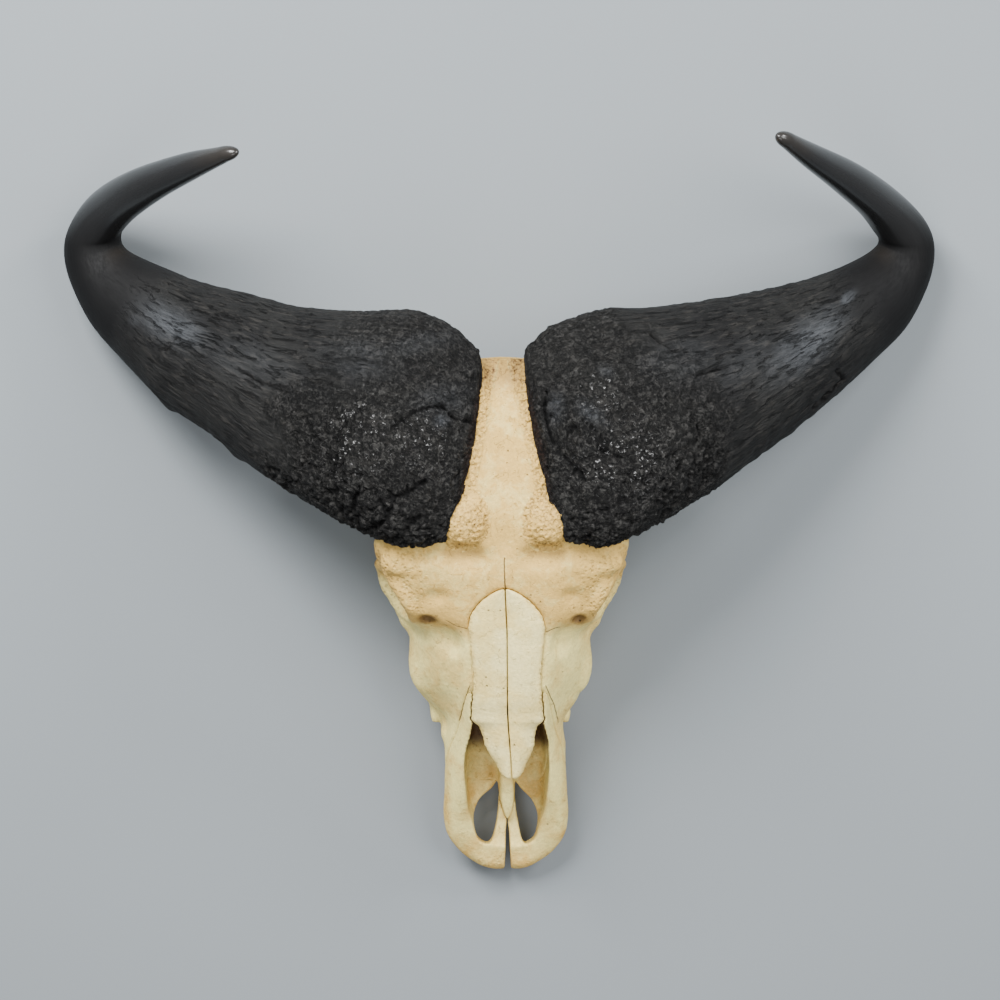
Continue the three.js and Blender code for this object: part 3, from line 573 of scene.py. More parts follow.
def cranium_field(block):
    """The distance field of half the skull without its loose bones."""
    field = body_distance(block)
    normal = np.array([math.cos(ORBIT_FORWARDS), -math.sin(ORBIT_FORWARDS), 0])
    for form, blend in (
        # the core of the horn, the knob between the horns and the two swellings behind it
        (rod([[45, 62, 172, 60, 20], [95, 74, 168, 70, 30], [138, 88, 160, 62, 32]]), 8),
        (egg([41, -8, 194], [26, 29, 19.5]), 3),
        (egg([30, 40, 194], [16, 60, 13]), 6),
        (egg([24, 95, 192], [11, 55, 14]), 6),
        # the brow over the eye socket, and the socket's rim
        (egg([94, -42, 178], [29, 15, 8], -0.5), 8),
        (egg([101.5, -74, 163], [8, 30, 10], -0.42), 6),
        ((orbit_rim_distance, ORBIT_MIDDLE - 50, ORBIT_MIDDLE + 50), 7),
        # the cheek arch, and the bar behind the eye
        (rod([[78, -140, 84, 6, 8], [95, -112, 90, 8, 12], [110, -78, 98, 8, 12],
              [118, -38, 104, 6.5, 11], [117, 0, 106, 5.5, 9], [110, 40, 107, 6.5, 9],
              [97, 78, 106, 9, 11], [80, 100, 104, 12, 14]]), 7),
        (rod([[117, -42, 160, 7, 9], [116, -38, 134, 6, 8], [115, -38, 110, 7, 9]]), 6),
        # the cheek over the molars, and the collar of bone beside the front teeth
        (egg([83, -156, 80], [10, 28, 12]), 10),
        (egg([63, -198, 42], [9, 26, 8], 0.25), 6),
        # the neck's joint, the spur beside it, the ear's bulb and the root of the cheek arch
        (egg([30, 140, 68], [20, 20, 19], 0.45), 4),
        (rod([[70, 132, 84, 12, 14], [67, 128, 52, 6, 11], [62, 122, 22, 3, 6]]), 7),
        (egg([44, 98, 50], [12, 18, 16]), 4),
        (rod([[60, 100, 92, 9, 10], [84, 96, 98, 8, 9], [100, 92, 100, 7, 8]]), 5),
        # the plate behind the palate and its hook, and the bump at the back of the head
        (rod([[22, 22, 72, 3.5, 8], [23, -18, 66, 3, 18], [25, -58, 62, 3, 20], [27, -92, 58, 4, 12]]), 4),
        (rod([[25, -46, 52, 3, 9], [24, -36, 40, 3, 6], [25, -28, 30, 2, 3]]), 3),
        (egg([0, 144, 150], [30, 10, 30]), 8),
    ):
        join(field, block, *form, blend)
    for form, blend in (
        (OPEN_NOSE, 2),
        ((airway_distance, [0, -246, 40], [34, -128, 152]), 3),
        # the eye socket, the pit and the dip before it, and the hollow of the cheek
        (egg(ORBIT_MIDDLE - 27 * normal, [56, 29, 29], -ORBIT_FORWARDS), 3),
        (egg([76, -108, 161], [8, 4.5, 9], 0.25), 1.5),
        (egg([78, -90, 183], [20, 9, 9], -0.35), 6),
        (egg([70, -134, 158], [24, 19, 20]), 8),
        # the trough between the horns and the dips round the knobs
        (egg([0, 60, 232], [16, 130, 30]), 8),
        (egg([0, -44, 222], [17, 40, 27]), 9),
        (egg([88, -48, 198], [26, 11, 11], -0.35), 8),
        (egg([40, -46, 199], [26, 13, 8], 0.1), 8),
        # the ear's opening, the spinal opening, the vault behind the palate, the cheek's nerve hole
        (egg([103, 93, 100], [9, 5, 5]), 2),
        (egg([0, 168, 74], [17, 60, 16]), 3),
        (egg([0, -40, 46], [18, 52, 28]), 3),
        (egg([74, -212, 74], [11, 8, 5], 0.6), 2),
        (PALATE_HOLE, 2),
        (NASAL_POCKET, 0.8),
        *((tooth_socket(*row[1:]), 0.8) for row in TEETH),
    ):
        carve(field, block, *form, blend)
    floor = ramp(block.up, 56, 48) * ramp(block.out, 44, 36)
    field = np.maximum(field, 0.3 - 6 * floor - seam_distance(block))
    join(field, block, *NOSE_BLADE, 2)
    return field


def incisor_field(block):
    """The distance field of one incisor bone."""
    field = body_distance(block)
    for form, blend in ((OPEN_NOSE, 2.5), (PALATE_HOLE, 2.5), (NASAL_POCKET, 0.8), (NOSE_BLADE, 0.8)):
        carve(field, block, *form, blend)
    slot = np.interp(block.along.ravel(), *np.array(INCISOR_SLOT).T)[None, :, None]
    field = smooth_max(field, slot - block.out, 2)
    return smooth_max(field, seam_distance(block) + 0.3, 1.5)


def nasal_field(block):
    """The distance field of one nasal bone, cut off beside the midline."""
    return smooth_max(nasal_distance(block), 0.55 - block.out, 1.5)


def cells_beside(at, axes, shifts):
    """The cells beside the lattice edges that start at the given places: one set for each shift."""
    for shift in shifts:
        cell = at.copy()
        cell[:, axes] -= shift
        yield tuple(cell.T)


def skin(field, block):
    """Surface nets: one point in each cell that the surface passes through, at the mean of the
    places where it crosses the cell's edges, and one four-sided face round each edge it crosses."""
    field = np.pad(field, 1, constant_values=9.0)
    inside = field < 0
    cells = tuple(n - 1 for n in field.shape)
    total = np.zeros(cells + (3,), np.float32)
    count = np.zeros(cells, np.float32)
    crossings = []
    for axis in range(3):
        low = [slice(None)] * 3
        high = [slice(None)] * 3
        low[axis], high[axis] = slice(0, -1), slice(1, None)
        a, b = field[tuple(low)], field[tuple(high)]
        at = np.argwhere(inside[tuple(low)] != inside[tuple(high)])
        index = tuple(at.T)
        place = at.astype(np.float32)
        place[:, axis] += a[index] / (a[index] - b[index])
        crossings.append((at, a[index] < 0))
        others = [k for k in range(3) if k != axis]
        for cell in cells_beside(at, others, np.ndindex(2, 2)):
            np.add.at(count, cell, 1)
            np.add.at(total, cell, place)
    used = count > 0
    number = np.cumsum(used.ravel()).reshape(cells) - 1
    points = total[used] / count[used][:, None]
    faces = []
    for axis, (at, outwards) in enumerate(crossings):
        others = [[1, 2], [2, 0], [0, 1]][axis]
        around = cells_beside(at, others, ((1, 1), (0, 1), (0, 0), (1, 0)))
        quad = np.stack([number[cell] for cell in around], axis=1)
        faces.append(np.where(outwards[:, None], quad, quad[:, ::-1]))
    return block.low + (points - 1) * block.step, np.concatenate(faces)


def whole(field, block):
    """Mirrors a half field over the midline."""
    full = np.concatenate([field[:0:-1], field])
    wide = Block.__new__(Block)
    wide.low = np.array([-block.step * (field.shape[0] - 1), block.low[1], block.low[2]])
    wide.step = block.step
    wide.shape = full.shape
    return full, wide


def point_normals(points, faces):
    """At each point, the mean of the facing directions of the faces round it."""
    across = points[faces[:, 2]] - points[faces[:, 0]]
    other = points[faces[:, 3]] - points[faces[:, 1]]
    facing = np.cross(across, other)
    total = np.stack([
        np.bincount(faces.ravel(), np.repeat(facing[:, k], 4), len(points)) for k in range(3)
    ], axis=1)
    return total / np.maximum(np.linalg.norm(total, axis=1, keepdims=True), 1e-9)


def relax(points, faces, rounds):
    """Evens out the net: each point moves towards its neighbours' mean, then a little back."""
    a = faces.ravel()
    b = np.roll(faces, -1, axis=1).ravel()
    ends, others = np.concatenate([a, b]), np.concatenate([b, a])
    count = np.bincount(ends, minlength=len(points))[:, None]
    for _ in range(rounds):
        for share in (0.5, -0.52):
            mean = np.stack([np.bincount(ends, points[others, k], len(points)) for k in range(3)], axis=1)
            points = points + share * (mean / count - points)
    return points


def sampled(field, block, points):
    """The field at any points, blended between the block's own."""
    place = (points - block.low) / block.step
    place = np.clip(place, 0, np.array(field.shape) - 1.001)
    base = place.astype(int)
    f = place - base
    total = np.zeros(len(points))
    for corner in np.ndindex(2, 2, 2):
        c = np.array(corner)
        total += np.prod(np.where(c, f, 1 - f), axis=1) * field[tuple((base + c).T)]
    return total


def hollowness(field, block, points, normals):
    """How enclosed each point is: how much nearer the bone stays as one goes straight out."""
    masks = [1 - np.clip(sampled(field, block, points + normals * far) / far, 0, 1) for far in (4, 10, 22)]
    return np.mean(masks, axis=0)


def to_frame(points):
    """Skull millimetres to the frame's metres, with the skull's lean, the drift of its nose and the
    skew of its cheeks, its tooth rows, the nose's floor and the nose's roof."""
    moved = points.copy()
    out, y, z = np.abs(points[:, 0]), points[:, 1], points[:, 2]
    moved[:, 0] += LEAN * z - NOSE_DRIFT * y + MIDLINE_AT_ORIGIN
    cheek = ramp(y, -215, -180) * ramp(y, 10, -40)
    moved[:, 0] -= 4.2 * cheek * ramp(out, 42, 84)
    low = ramp(z, 66, 54) * ramp(out, 43, 50)
    moved[:, 0] -= 4 * low * ramp(y, -245, -228) * ramp(y, -150, -185)
    moved[:, 0] += 1.6 * ramp(y, -262, -300) * ramp(out, 24, 10) * ramp(z, 90, 70)
    roof = ramp(z, 98, 110) * ramp(out, 46, 38)
    moved[:, 0] += roof * (4 * ramp(y, -195, -275) - 1.8 * ramp(y, -130, -70) * ramp(y, 0, -40))
    return (moved + SHIFT) * MM


def build_piece(name, points, faces, masks, material, replaced):
    """Puts points and four-sided faces into a mesh, with a value per point for each mask. The piece
    rides on the root and stands in for the frame's nodes that it replaces."""
    mesh = bpy.data.meshes.new(name)
    mesh.vertices.add(len(points))
    mesh.vertices.foreach_set("co", np.ascontiguousarray(points, np.float32).ravel())
    mesh.loops.add(faces.size)
    mesh.loops.foreach_set("vertex_index", faces.ravel().astype(np.int32))
    mesh.polygons.add(len(faces))
    mesh.polygons.foreach_set("loop_start", np.arange(0, faces.size, 4, dtype=np.int32))
    mesh.update(calc_edges=True)
    mesh.validate()
    mesh.polygons.foreach_set("use_smooth", np.ones(len(mesh.polygons), bool))
    for key, values in masks.items():
        vector = values.ndim == 2
        layer = mesh.attributes.new(key, "FLOAT_VECTOR" if vector else "FLOAT", "POINT")
        layer.data.foreach_set("vector" if vector else "value", values.astype(np.float32).ravel())
    mesh.materials.append(material)
    piece = bpy.data.objects.new(name, mesh)
    bpy.context.scene.collection.objects.link(piece)
    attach(piece, "root")
    if replaced:
        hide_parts(*replaced)


def add(tree, kind, inputs=None, **settings):
    """Adds a node to a tree; an input is a value, a socket or a signal."""
    made = tree.nodes.new(kind)
    for key, value in settings.items():
        setattr(made, key, value)
    for key, value in (inputs or {}).items():
        value = getattr(value, "socket", value)
        if isinstance(value, bpy.types.NodeSocket):
            tree.links.new(value, made.inputs[key])
        else:
            made.inputs[key].default_value = value
    return made


class Signal:
    """A node's output. Its sums and products with other signals and with numbers are Math nodes."""

    def __init__(self, socket):
        self.socket = socket
        self.tree = socket.id_data

    def maths(self, operation, a, b):
        """A Math node of two signals or numbers."""
        return Signal(add(self.tree, "ShaderNodeMath", {0: a, 1: b}, operation=operation).outputs[0])

    def __add__(self, other):
        return self.maths("ADD", self, other)

    def __sub__(self, other):
        return self.maths("SUBTRACT", self, other)

    def __rsub__(self, other):
        return self.maths("SUBTRACT", other, self)

    def __mul__(self, other):
        return self.maths("MULTIPLY", self, other)

    def __truediv__(self, other):
        return self.maths("DIVIDE", self, other)

    def greater(self, other):
        """The greater of two signals."""
        return self.maths("MAXIMUM", self, other)

    def clamped(self):
        """The same signal, held between 0 and 1 by the Math node that makes it."""
        self.socket.node.use_clamp = True
        return self

    def step(self, low, high, low_to=0.0, high_to=1.0):
        """A smooth step between two values."""
        made = add(
            self.tree, "ShaderNodeMapRange",
            {"Value": self, "From Min": low, "From Max": high, "To Min": low_to, "To Max": high_to},
            interpolation_type="SMOOTHSTEP")
        return Signal(made.outputs["Result"])


def attribute(tree, key, output="Fac"):
    """A mesh's attribute as a signal."""
    return Signal(add(tree, "ShaderNodeAttribute", attribute_name=key).outputs[output])


def noise(tree, vector, scale, detail=4.0, rough=0.55, distortion=0.0, output="Fac"):
    """Layered noise of about 0.5, or a colour of three such noises."""
    made = add(tree, "ShaderNodeTexNoise", {
        "Vector": vector, "Scale": scale, "Detail": detail, "Roughness": rough, "Distortion": distortion})
    return Signal(made.outputs[output])


def cells(tree, vector, scale, output="Distance", feature="F1"):
    """Scattered cells: the distance to a cell's point or edge, or a colour for each cell."""
    made = add(tree, "ShaderNodeTexVoronoi", {"Vector": vector, "Scale": scale}, feature=feature)
    return Signal(made.outputs[output])


def vectors(tree, operation, a, b=None, scale=None):
    """A Vector Math node: its vector, or its number for a dot product or a distance."""
    inputs = {key: value for key, value in ((0, a), (1, b), ("Scale", scale)) if value is not None}
    made = add(tree, "ShaderNodeVectorMath", inputs, operation=operation)
    return Signal(made.outputs["Value" if operation in ("DOT_PRODUCT", "DISTANCE") else "Vector"])


def mixed(tree, share, a, b):
    """A blend of two colours, each a signal or linear light."""
    a, b = ((*colour, 1.0) if isinstance(colour, tuple) else colour for colour in (a, b))
    return Signal(add(tree, "ShaderNodeMix", {0: share, 6: a, 7: b}, data_type="RGBA").outputs[2])


def bent(tree, vector, amount, scale, rough=0.5):
    """Coordinates pushed about by noise."""
    push = noise(tree, vector, scale, 5.0, rough, output="Color")
    return vectors(tree, "ADD", vector, vectors(tree, "SCALE", push, scale=amount))


def linear(colour):
    """A screen colour of 0 to 255 as linear light."""
    c = np.asarray(colour) / 255
    return tuple(float(v) for v in np.where(c <= 0.04045, c / 12.92, ((c + 0.055) / 1.055) ** 2.4))


def flat_point(x, y):
    """A place on the table in millimetres, before centring, as metres in the frame."""
    return ((x + SHIFT[0]) * MM, (y + SHIFT[1]) * MM, 0.0)


FLOAT, COLOUR, VECTOR = "NodeSocketFloat", "NodeSocketColor", "NodeSocketVector"


def shared_group(name, inputs, outputs, fill):
    """The node group of this name. When it isn't there yet, it is made with its sockets, and fill
    adds its nodes: it gets the tree and its inputs, and returns a signal for each output."""
    if name in bpy.data.node_groups:
        return bpy.data.node_groups[name]
    tree = bpy.data.node_groups.new(name, "ShaderNodeTree")
    for key, kind in inputs.items():
        tree.interface.new_socket(key, in_out="INPUT", socket_type=kind)
    for key, kind in outputs.items():
        tree.interface.new_socket(key, in_out="OUTPUT", socket_type=kind)
    start, end = tree.nodes.new("NodeGroupInput"), tree.nodes.new("NodeGroupOutput")
    results = fill(tree, {key: Signal(start.outputs[key]) for key in inputs})
    for key, signal in zip(outputs, results):
        tree.links.new(signal.socket, end.inputs[key])
    return tree


def fill_bone_finish(tree, at):
    """Bleached bone: pale and tan clouds, fine grain, pores, hair cracks and painted shade in hollows."""
    vector, rough = at["Vector"], at["Rough"]
    clouds = noise(tree, vector, 24.0, 5.0, 0.62)
    fine = noise(tree, vector, 300.0, 4.0, 0.65)
    streaks = noise(tree, vector, 95.0, 5.0, 0.7, 0.8)
    pores = cells(tree, vector, 380.0)
    crumbs = cells(tree, vector, 250.0)
    spots = cells(tree, vector, 75.0)
    hair = cells(tree, bent(tree, vector, 0.045, 60.0), 42.0, feature="DISTANCE_TO_EDGE")
    hair = hair.step(0.004, 0.03, 1.0, 0.0) * streaks.step(0.48, 0.62)

    tan = clouds.step(0.42, 0.66) * at["Tan amount"] + rough * 0.5
    # tan, and painted shade, from the mesh
    tan = tan + at["Tanned"] * streaks.step(0.25, 0.65, 0.55, 1.1)
    tan = (tan + streaks.step(0.5, 0.72) * 0.25).clamped()
    colour = mixed(tree, tan, at["Pale"], at["Tan"])

    pit = pores.step(0.0, 0.34, 1.0, 0.0) * fine.step(0.45, 0.6)
    crumb = crumbs.step(0.15, 0.5, 1.0, 0.0) * rough
    deep = spots.step(0.03, 0.1, 1.0, 0.0) * clouds.step(0.46, 0.56)
    dark = pit * (rough * 0.3 + 0.18) + crumb * 0.5 + deep * 0.55 + hair * 0.22
    # painted shade where the bone is enclosed
    dark = dark + at["Hollow"].step(0.5, 1.0, 0.0, 0.8)
    # real stains and painted shade both draw the colour towards the dark
    colour = mixed(tree, (dark + at["Stain"]).clamped(), colour, at["Dark"])
    light = fine.step(0.25, 0.75, 0.86, 1.1)
    shade = add(tree, "ShaderNodeHueSaturation", {"Color": colour, "Value": light})

    height = fine * 0.6 - pit * 0.6 - deep * 1.5 - crumb * 1.8 - hair * 0.4 + streaks * (rough + 0.5)
    return Signal(shade.outputs[0]), streaks.step(0.3, 0.7, 0.5, 0.75), height


def bone_finish():
    """The shared look of bleached bone."""
    inputs = {"Vector": VECTOR, "Pale": COLOUR, "Tan": COLOUR, "Dark": COLOUR, "Tan amount": FLOAT,
              "Tanned": FLOAT, "Rough": FLOAT, "Hollow": FLOAT, "Stain": FLOAT}
    outputs = {"Color": COLOUR, "Roughness": FLOAT, "Height": FLOAT}
    return shared_group("bone finish", inputs, outputs, fill_bone_finish)


def fill_bone_crack(tree, at):
    """A thin wandering line from one point to another, seen from above: the distance to the nearest
    point of the line, over its width."""
    level = (1.0, 1.0, 0.0)
    wobble = noise(tree, at["Vector"], 110.0, 4.0, 0.5, output="Color")
    wobble = vectors(tree, "SUBTRACT", wobble, (0.5, 0.5, 0.5))
    wobble = vectors(tree, "SCALE", wobble, scale=at["Wander"])
    flat = vectors(tree, "ADD", vectors(tree, "MULTIPLY", at["Vector"], level), wobble)
    offset = vectors(tree, "SUBTRACT", vectors(tree, "MULTIPLY", flat, level), at["From"])
    line = vectors(tree, "SUBTRACT", at["To"], at["From"])
    share = vectors(tree, "DOT_PRODUCT", offset, line) / vectors(tree, "DOT_PRODUCT", line, line)
    nearest = vectors(tree, "SCALE", line, scale=share.clamped())
    away = vectors(tree, "DISTANCE", offset, nearest)
    return ((away / at["Width"]).step(0.35, 1.0, 1.0, 0.0),)


def bone_crack():
    """The shared mask of a crack or a seam."""
    inputs = {"Vector": VECTOR, "From": VECTOR, "To": VECTOR, "Width": FLOAT, "Wander": FLOAT}
    return shared_group("bone crack", inputs, {"Mask": FLOAT}, fill_bone_crack)


def new_material(name):
    """A material, its tree, its shader and its object coordinates."""
    material = bpy.data.materials.new(name)
    material.use_nodes = True
    tree = material.node_tree
    vector = Signal(add(tree, "ShaderNodeTexCoord").outputs["Object"])
    return material, tree, tree.nodes["Principled BSDF"], vector


def connect(tree, shader, signals):
    """Feeds signals into a shader's inputs."""
    for key, signal in signals.items():
        tree.links.new(signal.socket, shader.inputs[key])


def bump(tree, strength, distance, height):
    """A normal bent by a height."""
    made = add(tree, "ShaderNodeBump", {"Strength": strength, "Distance": distance, "Height": height})
    return Signal(made.outputs[0])


def bone_material(name, pale, tan, dark, tan_amount, cracks=()):
    """A material of bleached bone, with its cracks, seams and lines of painted shadow darkened and cut in
    where it faces up.
    """
    material, tree, shader, vector = new_material(name)
    masks = {key.title(): attribute(tree, key) for key in ("rough", "hollow", "stain", "tanned")}
    line = None
    for start, end, width, wander in cracks:
        crack = add(tree, "ShaderNodeGroup", node_tree=bone_crack())
        connect(tree, crack, {"Vector": vector})
        for key, value in (("From", flat_point(*start)), ("To", flat_point(*end)),
                           ("Width", width * MM), ("Wander", wander * MM)):
            crack.inputs[key].default_value = value
        mask = Signal(crack.outputs[0])
        line = mask if line is None else line.greater(mask)
    if line is not None:
        normal = add(tree, "ShaderNodeNewGeometry").outputs["Normal"]
        facing = add(tree, "ShaderNodeSeparateXYZ", {0: normal})
        line = line * Signal(facing.outputs["Z"]).step(0.1, 0.4)
        masks["Stain"] = masks["Stain"] + line * 0.8
    finish = add(tree, "ShaderNodeGroup", node_tree=bone_finish())
    connect(tree, finish, {"Vector": vector, **masks})
    for key, value in (("Pale", pale), ("Tan", tan), ("Dark", dark)):
        finish.inputs[key].default_value = (*linear(value), 1.0)
    finish.inputs["Tan amount"].default_value = tan_amount
    colour, dull, height = (Signal(finish.outputs[key]) for key in ("Color", "Roughness", "Height"))
    if line is not None:
        height = height - line * 1.5
    connect(tree, shader, {"Base Color": colour, "Roughness": dull,
                           "Normal": bump(tree, 0.85, 0.0012, height)})
    shader.inputs["Specular IOR Level"].default_value = 0.35
    return material


def crack_lines(tree, vector, bend, scale, width):
    """Irregular cracks: the edges between scattered cells whose coordinates are bent by noise."""
    edge = cells(tree, bent(tree, vector, bend, scale * 1.3, 0.7), scale, feature="DISTANCE_TO_EDGE")
    return edge.step(0.0, width, 1.0, 0.0)


def horn_material():
    """Dark horn: a dull broken crust at the boss, split fibres along the middle and polished tips, with
    painted sheen, painted glints and painted shade in the low relief.
    """
    material, tree, shader, vector = new_material("dark horn")
    grain = attribute(tree, "grain", "Vector")
    crust, polish, gloss, rim, relief, sheen, glint, brown = (
        attribute(tree, key)
        for key in ("crust", "polish", "gloss", "rim", "relief", "sheen", "glint", "brown"))
    unpolished = (1.0 - polish).clamped()
    smooth = (1.0 - crust).clamped()
    fibres = noise(tree, grain, 360.0, 5.0, 0.7, 0.2)
    splits = noise(tree, grain, 230.0, 6.0, 0.7, 0.5)
    clouds = noise(tree, vector, 20.0, 4.0, 0.6)
    patches = noise(tree, vector, 55.0, 5.0, 0.65)
    lumps = noise(tree, vector, 175.0, 6.0, 0.68, 1.0)
    grit = noise(tree, vector, 560.0, 5.0, 0.78)
    wide = crack_lines(tree, vector, 0.035, 48.0, 0.05) * patches.step(0.42, 0.56)
    fine = crack_lines(tree, vector, 0.014, 150.0, 0.14) * lumps.step(0.62, 0.45)
    gaps = wide.greater(fine * 0.8) * crust
    facets = cells(tree, vector, 400.0, "Color")
    tone = Signal(add(tree, "ShaderNodeSeparateColor", {0: facets}).outputs[0])
    furrows = splits.step(0.46, 0.37) * (smooth * unpolished)
    threads = fibres.step(0.5, 0.66) * unpolished
    crumbs = crust * lumps.step(0.46, 0.64)
    chips = crust * grit.step(0.54, 0.68)
    glint_speck = tone.step(0.88, 0.95) * grit.step(0.5, 0.6)

    colour = linear((10, 10, 10))
    for share, tint in (
        (clouds.step(0.4, 0.62), (21, 21, 20)),
        (threads * 0.6, (48, 46, 43)),
        (crumbs * 0.85, (64, 63, 61)),
        (chips * 0.45, (120, 118, 114)),
        # painted sheen: light grey on the worn patches that face up
        (sheen * fibres.step(0.3, 0.6, 0.3, 0.75), (76, 79, 83)),
        (polish * 0.85, (3, 3, 4)),
        (brown * clouds.step(0.3, 0.6, 0.5, 1.0), (36, 31, 25)),
        (rim * grit.step(0.42, 0.58), (52, 30, 18)),
        (furrows * 0.6, (4, 4, 4)),
        (gaps * 0.9, (3, 3, 3)),
        # painted shade in the low places of the relief
        (relief.step(-0.35, -1.0, 0.0, 0.9), (3, 3, 3)),
        # painted glints: bright specks on the upward faces of the crust
        ((glint_speck * glint).clamped(), (200, 200, 200)),
    ):
        colour = mixed(tree, share, colour, linear(tint))

    dull = polish * 0.08 + 0.62 - sheen * 0.14 - chips * 0.2 + fibres.step(0.35, 0.7, -0.06, 0.1)
    height = fibres * (1.04 - polish) - furrows - gaps * 1.3 + lumps * (crust * 2.2) + grit * (crust * 0.9)
    connect(tree, shader, {"Base Color": colour, "Roughness": dull, "Coat Weight": gloss,
                           "Normal": bump(tree, 0.9, 0.003, height)})
    shader.inputs["Specular IOR Level"].default_value = 0.2
    shader.inputs["Coat Roughness"].default_value = 0.25
    return material


def path_distance(points, path):
    """Distance from points to a path, seen from above."""
    path = np.asarray(path, float)
    best = np.full(len(points), 1e9)
    for a, b in zip(path[:-1], path[1:]):
        d = b - a
        u = np.clip(((points[:, :2] - a) @ d) / (d @ d), 0, 1)
        best = np.minimum(best, np.linalg.norm(points[:, :2] - a - u[:, None] * d, axis=1))
    return best


def boss_edge_distance(points):
    """How far the nearer horn's inner edge lies from each of the skull's points, seen from above."""
    flat = to_frame(points) / MM - SHIFT
    edges = [np.reshape(rows[0], (2, 2)) - [np.sign(rows[0][0]) * HORN_BASE_BULGE, 0]
             for rows in (HORN_LEFT, HORN_RIGHT)]
    return np.minimum(*(path_distance(flat, edge) for edge in edges))


def worn(points, normals, rough, seed):
    """Pushes bone in and out: soft dents all over, and a spongy crust of pits where it is rough."""
    dents = layered_noise(points / 26, seed, 3) * 0.9
    grain = layered_noise(points / 9, seed + 10, 3, 0.6) * 0.35
    pushed = points / 6.5 + layered_noise(points / 12, seed + 20, 2)[:, None] * 0.3
    nearest, _ = cell_noise(pushed, seed + 30)
    sponge = layered_noise(points / 7, seed + 40, 3, 0.6) * 2.2 - np.clip(0.5 - nearest, 0, 1) * 5.5
    return points + normals * (dents + grain + rough * (sponge + 1.2))[:, None]


def crusted(out, y, edge):
    """1 on the two spongy knobs between the horns and along the horns' edges, 0 elsewhere: from the
    places out and along, and the distance to the horns."""
    knob = np.hypot((out - 41) / 26, (y + 8) / 32)
    return np.clip(ramp(knob, 1.12, 0.85) + ramp(edge, 12, 4) * ramp(y, -44, -30), 0, 1)


def brow_crust(half, block):
    """The spongy crust of the knobs and beside the horns: a level grid laid on the highest bone under
    it. Where the bone is crusted it stands a little proud, with heaps of noise and round pits at
    scattered points; elsewhere it dives below the bone. A second sheet under it closes it."""
    inside = half < 0
    top = half.shape[2] - 1 - np.argmax(inside[:, :, ::-1], axis=2)
    top = np.where(inside.any(axis=2), np.minimum(top, half.shape[2] - 2), 0)
    below = np.take_along_axis(half, top[..., None], 2)[..., 0]
    over = np.take_along_axis(half, top[..., None] + 1, 2)[..., 0]
    height = block.low[2] + block.step * (top + below / (below - over + 1e-6))
    x = np.arange(-CRUST_OUT, CRUST_OUT + CRUST_CELL / 2, CRUST_CELL)
    y = np.arange(CRUST_ALONG[0], CRUST_ALONG[1] + CRUST_CELL / 2, CRUST_CELL)
    rows = along(np.column_stack([block.out.ravel(), height]), np.abs(x))
    z = along(np.column_stack([block.along.ravel(), rows.T]), y).T
    grid = np.stack(np.broadcast_arrays(x[:, None], y[None, :], z), axis=-1)
    points = grid.reshape(-1, 3)
    rough = crusted(np.abs(points[:, 0]), points[:, 1], boss_edge_distance(points))
    pushed = points / 4.4 + layered_noise(points / 7, 131, 2)[:, None] * 0.4
    nearest, _ = cell_noise(pushed, 133)
    heaps = layered_noise(points / 3.8, 137, 3, 0.65) * 3.1 + layered_noise(points / 11, 139, 2) * 1.2
    pits = np.clip(0.52 - nearest, 0, 1) * 7.5
    relief = rough * (heaps - pits + 0.6)
    upper = points.copy()
    upper[:, 2] += relief - 1.6 * (1 - ramp(rough, 0.05, 0.4)) + 0.3
    lower = points.copy()
    lower[:, 2] -= CRUST_THICK
    count, across = z.shape
    a = np.arange(count * across).reshape(count, across)
    lid = np.stack([a[:-1, :-1], a[1:, :-1], a[1:, 1:], a[:-1, 1:]], axis=-1).reshape(-1, 4)
    border = np.concatenate([a[:, 0], a[-1, 1:], a[-2::-1, -1], a[0, -2:0:-1]])
    after = np.roll(border, -1)
    size = a.size
    wall = np.stack([border, border + size, after + size, after], axis=1)
    faces = np.concatenate([lid, lid[:, ::-1] + size, wall])
    deep = ramp(pits, 0.5, 2.4) * rough
    # painted shade in the crust's pits and between its heaps, and on the head behind the poll
    masks = {
        "rough": rough * 0.45,
        "hollow": deep * 0.85,
        "stain": deep * 0.6 + ramp(heaps, 0.5, -1.6) * rough * 0.7 + ramp(points[:, 1], 108, 138) * 0.5,
        "tanned": 0.75 * rough + 0.3,
    }
    return np.concatenate([upper, lower]), faces, {key: np.tile(mask, 2) for key, mask in masks.items()}


